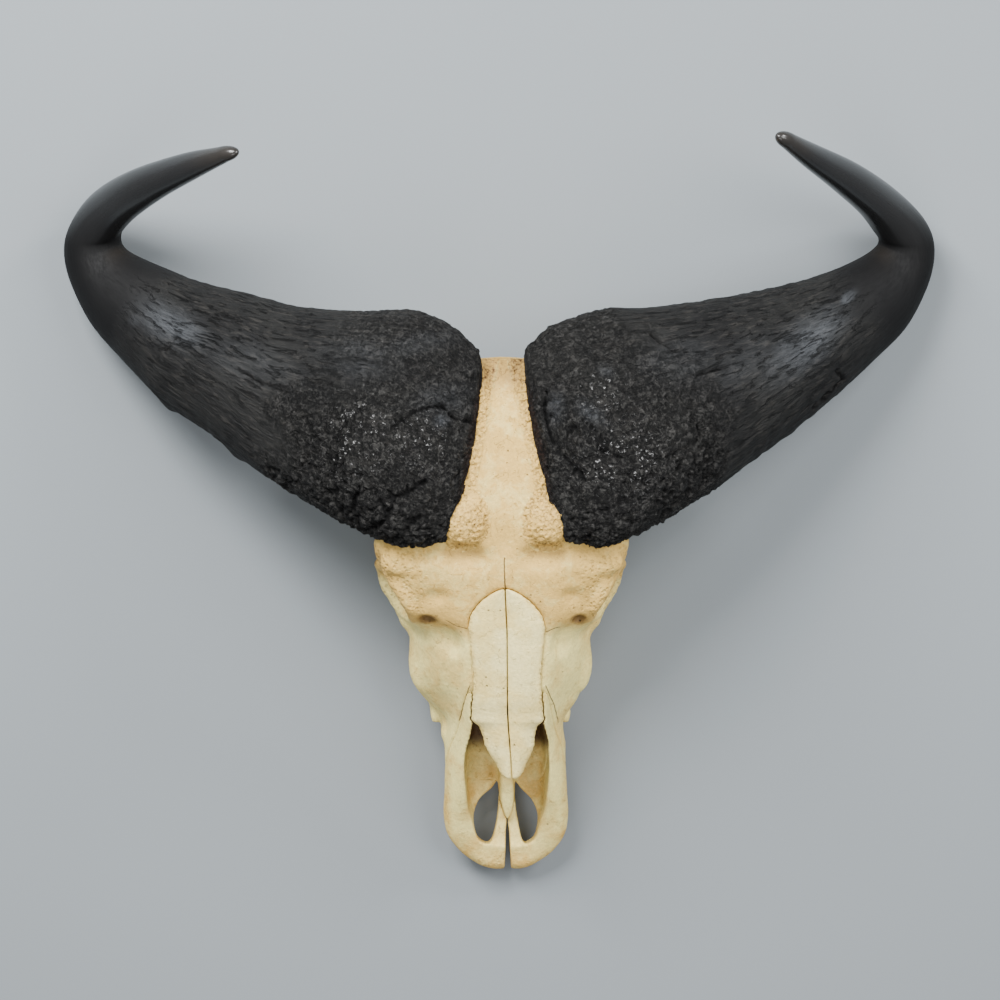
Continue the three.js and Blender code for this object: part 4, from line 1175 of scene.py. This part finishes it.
def cranium_marks(points, normals, hollow):
    """Masks of the cranium, and where the brow over the eyes is rough. Each is a sum of soft steps
    between places in the skull, most of them only where the bone faces up."""
    out = np.abs(points[:, 0])
    y, z = points[:, 1], points[:, 2]
    top = ramp(normals[:, 2], -0.1, 0.4)
    edge = boss_edge_distance(points)
    brow = ramp(y, -24, -40) * ramp(out, 68, 90) * ramp(y, -118, -96) * top
    margin = ramp(out, 112, 121) * ramp(y, -72, -62) * ramp(y, -36, -44)
    nose_wall = ramp(out, 44, 39)

    # beside the horns and underneath, and painted shade behind the poll
    tanned = ramp(edge, 12, 3) * 0.5 * top
    tanned = tanned + ramp(z, 52, 34) * 0.55 * ramp(normals[:, 2], 0.4, -0.1) + ramp(y, 118, 150) * 0.4
    # painted shade in the dip before the eyes, tan in the open nose, and painted shadow round the knobs
    tanned += ramp(np.hypot((out - 72) / 26, (y + 101) / 13), 1.2, 0.3) * top
    tanned += ramp(z, 100, 60) * nose_wall * ramp(out, 8, 13) * ramp(y, -140, -180) * 0.5
    tanned += ramp(np.hypot(out - 41, (y + 42) / 0.8), 26, 10) * top * 0.6
    # the forehead and the eye's rim, and painted shade on the back of the head
    tanned += ramp(y, -128, -108) * ramp(z, 130, 160) * 0.8 + margin * 0.7 + ramp(y, 70, 150) * 0.3

    # painted shade and brown stain in the pit before each eye; painted shadow with brown stain in the deep
    # recess of the open nose
    pit = ramp(np.hypot((out - 76) / 11, (y + 108) / 6), 1.25, 0.5) * top
    recess_shadow = ramp(y, -256, -236) * ramp(out, 46, 40) * ramp(z, 124, 112) * ramp(y, 20, -40)
    # painted shadow under the knobs
    knob_shadow = np.exp(-((y + 41) / 5) ** 2) * ramp(np.abs(out - 41), 26, 14) * top
    # a real brown stain along the broken rim of the eye
    broken = ramp(layered_noise(points / 6, 91, 3), -0.1, 0.4) * ramp(points[:, 0], 0, -60)
    stain = pit * 0.8 + recess_shadow * 0.95 + knob_shadow * 0.35 + margin * broken * 0.6
    return {
        "rough": np.clip(brow * 0.4 + crusted(out, y, edge) * top * 0.4, 0, 1),
        # painted shade where the bone is enclosed, less of it inside the open nose
        "hollow": hollow * (1 - 0.55 * ramp(y, -232, -250) * nose_wall * ramp(z, 110, 95)),
        # painted shade on the top of the head, where it falls away behind the poll
        "stain": stain + ramp(y, 108, 138) * top * 0.52,
        "tanned": tanned,
    }, brow


class SKULL_PG_settings(bpy.types.PropertyGroup):
    """Sizes and colours of the skull"""
    cell: bpy.props.FloatProperty(
        name="Cell", description="Spacing of the net that makes the cranium",
        default=0.00247, unit="LENGTH")
    fine_cell: bpy.props.FloatProperty(
        name="Fine cell", description="Spacing of the net that makes the small bones",
        default=0.0012, unit="LENGTH")
    bone_pale: bpy.props.FloatVectorProperty(
        name="Pale bone", description="Bleached bone, screen colour", default=(238, 222, 142), size=3)
    bone_tan: bpy.props.FloatVectorProperty(
        name="Tan bone", description="Stained bone, screen colour", default=(208, 170, 90), size=3)
    # the dark colour of seams and stains, and of the painted shade in hollows and recesses
    bone_dark: bpy.props.FloatVectorProperty(
        name="Dark bone", description="Hollows and seams, screen colour", default=(72, 44, 16), size=3)
    nasal_pale: bpy.props.FloatVectorProperty(
        name="Nasal bone", description="The whiter bones of the nose's roof",
        default=(246, 229, 158), size=3)
    nasal_tan: bpy.props.FloatVectorProperty(
        name="Nasal clouds", description="Faint tan clouds on the nose's roof",
        default=(230, 204, 124), size=3)
    horn_rows: bpy.props.IntProperty(name="Horn rows", description="Points along a horn", default=344)
    horn_ring: bpy.props.IntProperty(name="Horn ring", description="Points round a horn", default=280)
    crust_depth: bpy.props.FloatProperty(
        name="Crust depth", description="Relief of the boss's crust", default=0.0054, unit="LENGTH")


class SKULL_OT_stage(bpy.types.Operator):
    """Make the pale table, the soft light and the camera above the skull"""
    bl_idname = "skull.stage"
    bl_label = "Stage"

    def execute(self, context):
        scene = context.scene
        mesh = bpy.data.meshes.new("table")
        corners = [(x * TABLE_REACH, y * TABLE_REACH, 0) for x, y in ((-1, -1), (1, -1), (1, 1), (-1, 1))]
        mesh.from_pydata(corners, [], [(0, 1, 2, 3)])
        table = bpy.data.objects.new("table", mesh)
        scene.collection.objects.link(table)
        pale = bpy.data.materials.new("pale table")
        pale.use_nodes = True
        shader = pale.node_tree.nodes["Principled BSDF"]
        shader.inputs["Base Color"].default_value = TABLE_COLOUR
        shader.inputs["Roughness"].default_value = 0.9
        mesh.materials.append(pale)

        world = bpy.data.worlds.new("soft sky")
        scene.world = world
        world.use_nodes = True
        sky = world.node_tree.nodes["Background"]
        sky.inputs["Color"].default_value = SKY_COLOUR
        sky.inputs["Strength"].default_value = SKY_STRENGTH
        for name, place, size, power in LAMPS:
            light = bpy.data.lights.new(name, "AREA")
            light.size = size
            light.energy = power
            lamp = bpy.data.objects.new(name, light)
            lamp.location = place
            x, y, z = -np.array(place)
            lamp.rotation_euler = (math.atan2(math.hypot(x, y), -z), 0, math.atan2(y, x) - math.pi / 2)
            scene.collection.objects.link(lamp)

        camera = bpy.data.cameras.new("camera above")
        camera.sensor_width = CAMERA_SENSOR
        camera.lens = CAMERA_LENS
        eye = bpy.data.objects.new("camera above", camera)
        eye.location = CAMERA_PLACE
        scene.collection.objects.link(eye)
        scene.camera = eye
        return {"FINISHED"}


class SKULL_OT_cranium(bpy.types.Operator):
    """Make the skull bones that have grown together"""
    bl_idname = "skull.cranium"
    bl_label = "Cranium"

    def execute(self, context):
        look = context.scene.skull
        block = Block(*CRANIUM_BLOCK, look.cell / MM)
        half = cranium_field(block)
        field, wide = whole(half, block)
        points, faces = skin(field, wide)
        points = relax(points, faces, 2)
        normals = point_normals(points, faces)
        masks, brow = cranium_marks(points, normals, hollowness(field, wide, points, normals))
        seam = np.abs(np.abs(points[:, 0]) - along(NASAL, points[:, 1]).T[0])
        calm = 1 - 0.85 * ramp(seam, 7, 2) * ramp(points[:, 1], -285, -278) * ramp(points[:, 1], -66, -72)
        points = worn(points, normals * calm[:, None], brow * 0.5, 5)
        material = bone_material(
            "bleached bone", look.bone_pale, look.bone_tan, look.bone_dark, 0.55, CRACKS)
        build_piece("skull_bone", to_frame(points), faces, masks, material, ["cranium"])
        points, faces, masks = brow_crust(half, block)
        build_piece("brow_crust", to_frame(points), faces, masks, material, [])
        return {"FINISHED"}


def paired_bones(name, block, field, seed, node, material, marks):
    """One bone of each side from the same half field, each worn in its own way."""
    points, faces = skin(field, block)
    points = relax(points, faces, 2)
    for side, word in ((1, "left"), (-1, "right")):
        own = points * [side, 1, 1]
        own_faces = faces if side > 0 else faces[:, ::-1]
        normals = point_normals(own, own_faces)
        half_normals = normals * [side, 1, 1]
        masks = marks(points, half_normals)
        # painted shade where the bone is enclosed
        masks["hollow"] = hollowness(field, block, points, half_normals) * 0.72
        shaped = worn(own, normals * 0.45, masks["rough"], seed + side)
        build_piece(
            f"{name}_{word}", to_frame(shaped), own_faces, masks, material, [f"{node}_{word}"])


def nasal_marks(points, normals):
    """Masks of the nasal bones: tan along their outer edges and tips, and painted shade on their
    undersides.
    """
    y = points[:, 1]
    # painted shade where the bones face down
    below = ramp(normals[:, 2], 0.1, -0.3)
    edge = ramp(points[:, 0] - along(NASAL, y).T[0], -5, -0.5)
    return {
        "rough": edge * 0.25 * ramp(normals[:, 2], 0.2, 0.6),
        "tanned": np.clip(edge * 0.5 + below + ramp(y, -255, -272) * 0.3, 0, 1),
        "stain": below * ramp(y, -262, -240) * 0.6,
    }


def muzzle_marks(points, normals):
    """Masks of the incisor bones: tan towards the nose, brown inside the open nose, and painted shadow
    with brown stain in its deep recess.
    """
    out, y, z = points.T
    inside = ramp(normals[:, 0], 0.1, -0.5) * ramp(out, 46, 40)
    back = ramp(z, 100, 60) * ramp(out, 44, 39) * ramp(out, 8, 13) * ramp(y, -335, -300)
    tanned = back * 0.5 + inside * 0.12 + ramp(y, -330, -365) * 0.4
    tanned += ramp(z, 40, 24) * 0.35 + ramp(out, 55, 61) * 0.4
    return {
        "rough": 0.15 * ramp(y, -350, -372),
        "tanned": np.clip(tanned, 0, 1),
        # painted shadow, with brown stain, in the deep recess of the open nose
        "stain": inside * ramp(y, -256, -236) * 0.9,
    }


class SKULL_OT_nasal_bones(bpy.types.Operator):
    """Make the two pale bones of the nose's roof"""
    bl_idname = "skull.nasal_bones"
    bl_label = "Nasal bones"

    def execute(self, context):
        look = context.scene.skull
        block = Block(*NASAL_BLOCK, look.fine_cell / MM)
        material = bone_material("nasal bone", look.nasal_pale, look.nasal_tan, look.bone_dark, 0.8)
        paired_bones(
            "nasal_roof", block, nasal_field(block), 11, "nasal_bone", material, nasal_marks)
        return {"FINISHED"}


class SKULL_OT_incisor_bones(bpy.types.Operator):
    """Make the two bones round the open nose"""
    bl_idname = "skull.incisor_bones"
    bl_label = "Incisor bones"

    def execute(self, context):
        look = context.scene.skull
        block = Block(*MUZZLE_BLOCK, look.fine_cell * MUZZLE_CELL / MM)
        material = bone_material("incisor bone", look.bone_pale, look.bone_tan, look.bone_dark, 0.6)
        paired_bones(
            "muzzle_bone", block, incisor_field(block), 23, "incisor_bone", material, muzzle_marks)
        return {"FINISHED"}


class SKULL_OT_teeth(bpy.types.Operator):
    """Make the upper cheek teeth"""
    bl_idname = "skull.teeth"
    bl_label = "Cheek teeth"

    def execute(self, context):
        material = bone_material("stained enamel", (214, 196, 152), (176, 140, 88), (92, 62, 36), 0.9)
        for side, word in ((1, "left"), (-1, "right")):
            for number, (name, out, y, long, wide) in enumerate(TEETH):
                points, faces, hollow = tooth_surface(long, wide, side, number)
                points[:, 0] += side * out
                points[:, 1] += y
                masks = {key: np.zeros(len(points)) for key in ("rough", "hollow", "stain", "tanned")}
                # painted shade from the tooth's shape
                masks["hollow"] = hollow
                build_piece(
                    f"tooth_{name}_{word}", to_frame(points), faces, masks, material, [f"{name}_{word}"])
        return {"FINISHED"}


def tooth_surface(long, wide, side, seed):
    """A tooth: a squared oval with ribs on its outer side, carried up from the worn face to the root.
    The worn face is a grid of rings towards its middle, sunk along two crescents."""
    around, rows, face_rings, root_rings = 64, 26, 12, 4
    turn = np.linspace(0, 2 * math.pi, around, endpoint=False)
    squared = lambda v: np.sign(v) * np.abs(v) ** 0.62
    rib = np.where(np.cos(turn) > 0.2, 0.05 * np.cos(7 * turn), 0)
    ring = np.stack([
        wide / 2 * squared(np.cos(turn)) * (1 + rib), long / 2 * squared(np.sin(turn))], axis=1)
    size = np.concatenate([
        np.linspace(0.04, 0.96, face_rings), np.ones(rows), np.linspace(0.96, 0.04, root_rings)])
    up = np.concatenate([
        np.zeros(face_rings), np.linspace(0.4, TOOTH_TOP - 0.4, rows), np.full(root_rings, TOOTH_TOP)])
    x = size[:, None] * ring[:, 0]
    y = size[:, None] * ring[:, 1]
    z = np.repeat(up[:, None], around, axis=1)
    u, v = x / (wide / 2), y / (long / 2)
    lobes = 1 if long < 20 else 2
    centre = np.abs(np.mod(v * lobes + (lobes - 1), 2) - (lobes - 1))
    crescent = np.exp(-((np.hypot(u + 0.1, centre * 0.8) - 0.42) / 0.13) ** 2)
    face = (up < 0.1)[:, None]
    z = np.where(face, crescent * 2.2 * (size[:, None] < 0.9), z)
    points = np.stack([side * x.ravel(), y.ravel(), z.ravel()], axis=1)
    points[:, :2] *= (1 + 0.012 * layered_noise(points / 6 + seed * 9, seed, 2))[:, None]
    faces = grid_faces(len(size), around)
    # painted shade: darker on the worn face, most along its sunk crescents, and up towards the socket
    hollow = np.where(face, 0.35 + 0.6 * crescent, ramp(z, 14, 24) * 0.7).ravel()
    return points, faces if side > 0 else faces[:, ::-1], hollow


def grid_faces(rows, around):
    """Faces of a closed tube of rings, each end shut by folding its last ring across."""
    a = np.arange(rows * around).reshape(rows, around)
    b = np.roll(a, -1, axis=1)
    walls = np.stack([a[:-1], b[:-1], b[1:], a[1:]], axis=-1).reshape(-1, 4)
    k = np.arange(around // 2 - 1)
    ends = []
    for ring, turned in ((a[0], True), (a[-1], False)):
        cap = np.stack([ring[k], ring[k + 1], ring[around - 2 - k], ring[around - 1 - k]], axis=1)
        ends.append(cap[:, ::-1] if turned else cap)
    return np.concatenate([walls, *ends])


def horn_frames(rows, t):
    """At each place t: centre, direction of the path, of the width and of the height, half width,
    half thickness and squareness, all from the table of edges."""
    numbered = np.column_stack([np.arange(len(rows)), rows])
    last = len(rows) - 1
    centre_of = lambda v: np.column_stack([(v[:, :2] + v[:, 2:4]) / 2, v[:, 4]])
    value = along(numbered, t)
    ahead = centre_of(along(numbered, np.minimum(t + 0.5, last)))
    behind = centre_of(along(numbered, np.maximum(t - 0.5, 0)))
    path = ahead - behind
    path /= np.linalg.norm(path, axis=1, keepdims=True)
    across = np.column_stack([value[:, 2:4] - value[:, :2], 0 * t])
    half = np.linalg.norm(across, axis=1) / 2
    across /= 2 * half[:, None]
    above = np.cross(across, path)
    above /= np.linalg.norm(above, axis=1, keepdims=True)
    power = 0.74 + 0.26 * np.clip(t / 5, 0, 1)
    return centre_of(value), path, across, above, half, value[:, 5], power


def horn_tube(rows, count, around):
    """A horn's bare shape: ovals carried along its path, each spanning its two edges, with a domed
    base and tip, an even bend and low lumps. With the points and faces come, for each point, its
    place in the table, the angle round the path, the way along it, the girth, and 0 at the ends."""
    last = len(rows) - 1
    trial = np.linspace(0, last, 600)
    centre = horn_frames(rows, trial)[0]
    length = np.concatenate([[0], np.cumsum(np.linalg.norm(np.diff(centre, axis=0), axis=1))])
    base, tip = 14, 10
    t = np.interp(np.linspace(0, length[-1], count - base - tip), length, trial)
    t = np.concatenate([np.zeros(base), t, np.full(tip, float(last))])
    share = np.zeros(count)
    share[:base] = np.cos(np.linspace(0.06, math.pi / 2, base, endpoint=False))
    share[-tip:] = np.sin(np.linspace(0, math.pi / 2 - 0.12, tip + 1)[1:])
    reach = np.zeros(count)
    reach[:base] = -HORN_BASE_BULGE * share[:base]
    reach[-tip:] = HORN_TIP_REACH * share[-tip:]
    size = np.sqrt(1 - share ** 2)
    centre, path, across, above, half, thick, power = horn_frames(rows, t)
    centre = centre + path * reach[:, None]
    turn = np.linspace(0, 2 * math.pi, around, endpoint=False) - math.pi / 2
    squared = lambda v: np.sign(v) * np.abs(v) ** power[:, None]
    c = squared(np.cos(turn)[None, :])
    s = squared(np.sin(turn)[None, :])
    grid = (centre[:, None] + across[:, None] * ((half * size)[:, None] * c)[..., None]
            + above[:, None] * ((thick * size)[:, None] * s)[..., None])
    bend = (ramp(t, 6.0, 8.5) * ramp(t, 15.0, 13.2))[:, None]
    for _ in range(BEND_ROUNDS):
        height = grid[..., 2]
        mean = (np.roll(height, 1, axis=0) + np.roll(height, -1, axis=0)) / 2
        grid[..., 2] = height + bend * 0.7 * (mean - height)
    points = grid.reshape(-1, 3)
    faces = grid_faces(count, around)[:, ::-1]
    outwards = points - np.repeat(centre, around, axis=0)
    outwards /= np.maximum(np.linalg.norm(outwards, axis=1, keepdims=True), 1e-6)
    for x, y, z, wide, high in HORN_LUMPS:
        away = np.linalg.norm(points - [x, y, z], axis=1) / wide
        points = points + outwards * (high * np.exp(-away ** 2))[:, None]
    rings = (t, np.interp(t, trial, length) + reach, (half + thick) / 2 * np.maximum(size, 0.2),
             ramp(size, 0.1, 0.5))
    place, arc, girth, ends = (np.repeat(values, around) for values in rings)
    return points, faces, place, np.tile(turn, count), arc, girth, ends


def sheen_patches(points, patches):
    """Patches of painted sheen seen from above: soft ovals, of which the strongest counts at each point.
    """
    total = np.zeros(len(points))
    for x, y, long, wide, heading, strength in patches:
        c, s = math.cos(math.radians(heading)), math.sin(math.radians(heading))
        right, ahead = points[:, 0] - x, points[:, 1] - y
        u, v = right * c + ahead * s, ahead * c - right * s
        total = np.maximum(total, strength * np.exp(-((u / long) ** 2 + (v / wide) ** 2) ** 1.3))
    return total


def horn_surface(rows, seed, cracks, patches, glints, count, around, crust_depth):
    """A horn with its relief in and out: a cracked crust on the boss, growth ridges and fibres. Its
    masks go by the place along the table, the angle round the path and the same noises."""
    points, faces, place, angle, arc, girth, ends = horn_tube(rows, count, around)
    normals = point_normals(points, faces)
    grain = np.column_stack([np.cos(angle) * girth, np.sin(angle) * girth, arc * 0.11])
    grain += (layered_noise(points / 40, seed + 4, 2) * 1.5)[:, None]
    wander = layered_noise(points / 60, seed + 5, 3)
    above_side = ramp(normals[:, 2], 0.0, 0.4)
    facing = np.cos(angle)
    front = ramp(facing, -0.5, 0.3)
    crust = ramp(place - wander * 1.6 - front * 0.9, 3.0, 1.7) * (0.5 + 0.5 * ramp(facing, -0.6, 0.2))
    polish = ramp(place + wander * 0.9, 5.9, 7.2)
    fibrous = (1 - polish) * (0.3 + 0.7 * (1 - crust))
    bumps = layered_noise(points / 30, seed, 4, 0.6)
    pushed = points / 19 + layered_noise(points / 15, seed + 60, 3)[:, None] * 0.6
    near, second = cell_noise(pushed, seed + 1)
    crack = np.exp(-((second - near) / 0.09) ** 2)
    crack *= ramp(layered_noise(points / 45, seed + 61, 2), -0.25, 0.15)
    pushed = points / 6.5 + layered_noise(points / 8, seed + 70, 2)[:, None] * 0.5
    near, second = cell_noise(pushed, seed + 2)
    crumble = np.exp(-((second - near) / 0.16) ** 2)
    grit = layered_noise(points / 5, seed + 3, 2)
    flakes = crust * (0.6 * bumps - 0.7 * crack - 0.34 * crumble + 0.4 * grit)
    strong = 0.35 + 0.65 * ramp(facing, 0.2, 0.85) + 0.3 * ramp(facing, -0.4, -0.9)
    furrow = layered_noise(grain / 6, seed + 8, 4, 0.6)
    ridges = 0.35 - np.abs(layered_noise(grain / 8 + 3, seed + 9, 3)) * 1.5
    rings = layered_noise(np.column_stack([arc / 15 + wander, angle * 0.4, 0 * arc]), seed + 12, 2)
    lengthways = fibrous * (0.25 * furrow + 0.32 * ridges * strong + 0.25 * rings * ramp(place, 2, 4))
    flat = points[:, :2] + np.column_stack([
        layered_noise(points / 9, seed + 21, 3), layered_noise(points / 9, seed + 22, 3)]) * 3.2
    nearest = np.min([path_distance(flat, crack_path) for crack_path in cracks], axis=0)
    split = np.exp(-(nearest / 1.7) ** 2) * above_side
    relief = flakes + lengthways - 1.0 * split + polish * 0.05 * layered_noise(grain / 14, seed + 14, 2)
    points = points + normals * (relief * crust_depth * ends)[:, None]
    points[:, 2] = np.maximum(points[:, 2], 0)
    # the sheen and the glints are painted only where the horn faces up
    faded = above_side * (0.75 + 0.5 * layered_noise(grain / 10, seed + 15, 3))
    # painted glints, round each listed patch
    away = [np.sum((points[:, :2] - [x, y]) ** 2, axis=1) / wide ** 2 for x, y, wide in glints]
    brown_bend = 0.5 * np.exp(-((place - 8.6) / 0.7) ** 2) * ramp(-facing, 0.2, 0.8)
    return points, faces, {
        "grain": grain * MM,
        "crust": crust,
        "polish": polish,
        "gloss": ramp(place, 10.2, 12.4),
        "rim": ramp(arc, -9.5, -13.5) * ramp(normals[:, 2], -0.3, 0.3) * 0.8,
        "relief": relief,
        "sheen": np.clip(sheen_patches(points, patches) * faded, 0, 1),
        "glint": np.exp(-np.min(away, axis=0)) * above_side * 1.3,
        "brown": ramp(place, 14.0, 15.2) * 0.7 + brown_bend,
    }


class SKULL_OT_horns(bpy.types.Operator):
    """Make the two horn sheaths"""
    bl_idname = "skull.horns"
    bl_label = "Horn sheaths"

    def execute(self, context):
        look = context.scene.skull
        material = horn_material()
        for word, marks in HORNS.items():
            points, faces, masks = horn_surface(
                *marks, look.horn_rows, look.horn_ring, look.crust_depth / MM)
            build_piece(
                f"horn_{word}", (points + SHIFT) * MM, faces, masks, material, [f"horn_sheath_{word}"])
        return {"FINISHED"}


OPERATORS = (
    SKULL_OT_stage, SKULL_OT_cranium, SKULL_OT_nasal_bones, SKULL_OT_incisor_bones, SKULL_OT_teeth,
    SKULL_OT_horns,
)


class SKULL_PT_panel(bpy.types.Panel):
    """Lists the steps that build the skull"""
    bl_idname = "SKULL_PT_panel"
    bl_label = "Skull"
    bl_space_type = "VIEW_3D"
    bl_region_type = "UI"
    bl_category = "Skull"

    def draw(self, context):
        for key in SKULL_PG_settings.__annotations__:
            self.layout.prop(context.scene.skull, key)
        for operator in OPERATORS:
            self.layout.operator(operator.bl_idname)


CLASSES = (SKULL_PG_settings, *OPERATORS, SKULL_PT_panel)


def register():
    for item in CLASSES:
        bpy.utils.register_class(item)
    bpy.types.Scene.skull = bpy.props.PointerProperty(type=SKULL_PG_settings)


def unregister():
    del bpy.types.Scene.skull
    for item in reversed(CLASSES):
        bpy.utils.unregister_class(item)


def main():
    """Builds everything."""
    register()
    bpy.ops.skull.stage()
    bpy.ops.skull.cranium()
    bpy.ops.skull.nasal_bones()
    bpy.ops.skull.incisor_bones()
    bpy.ops.skull.teeth()
    bpy.ops.skull.horns()


if __name__ == "__main__":
    main()
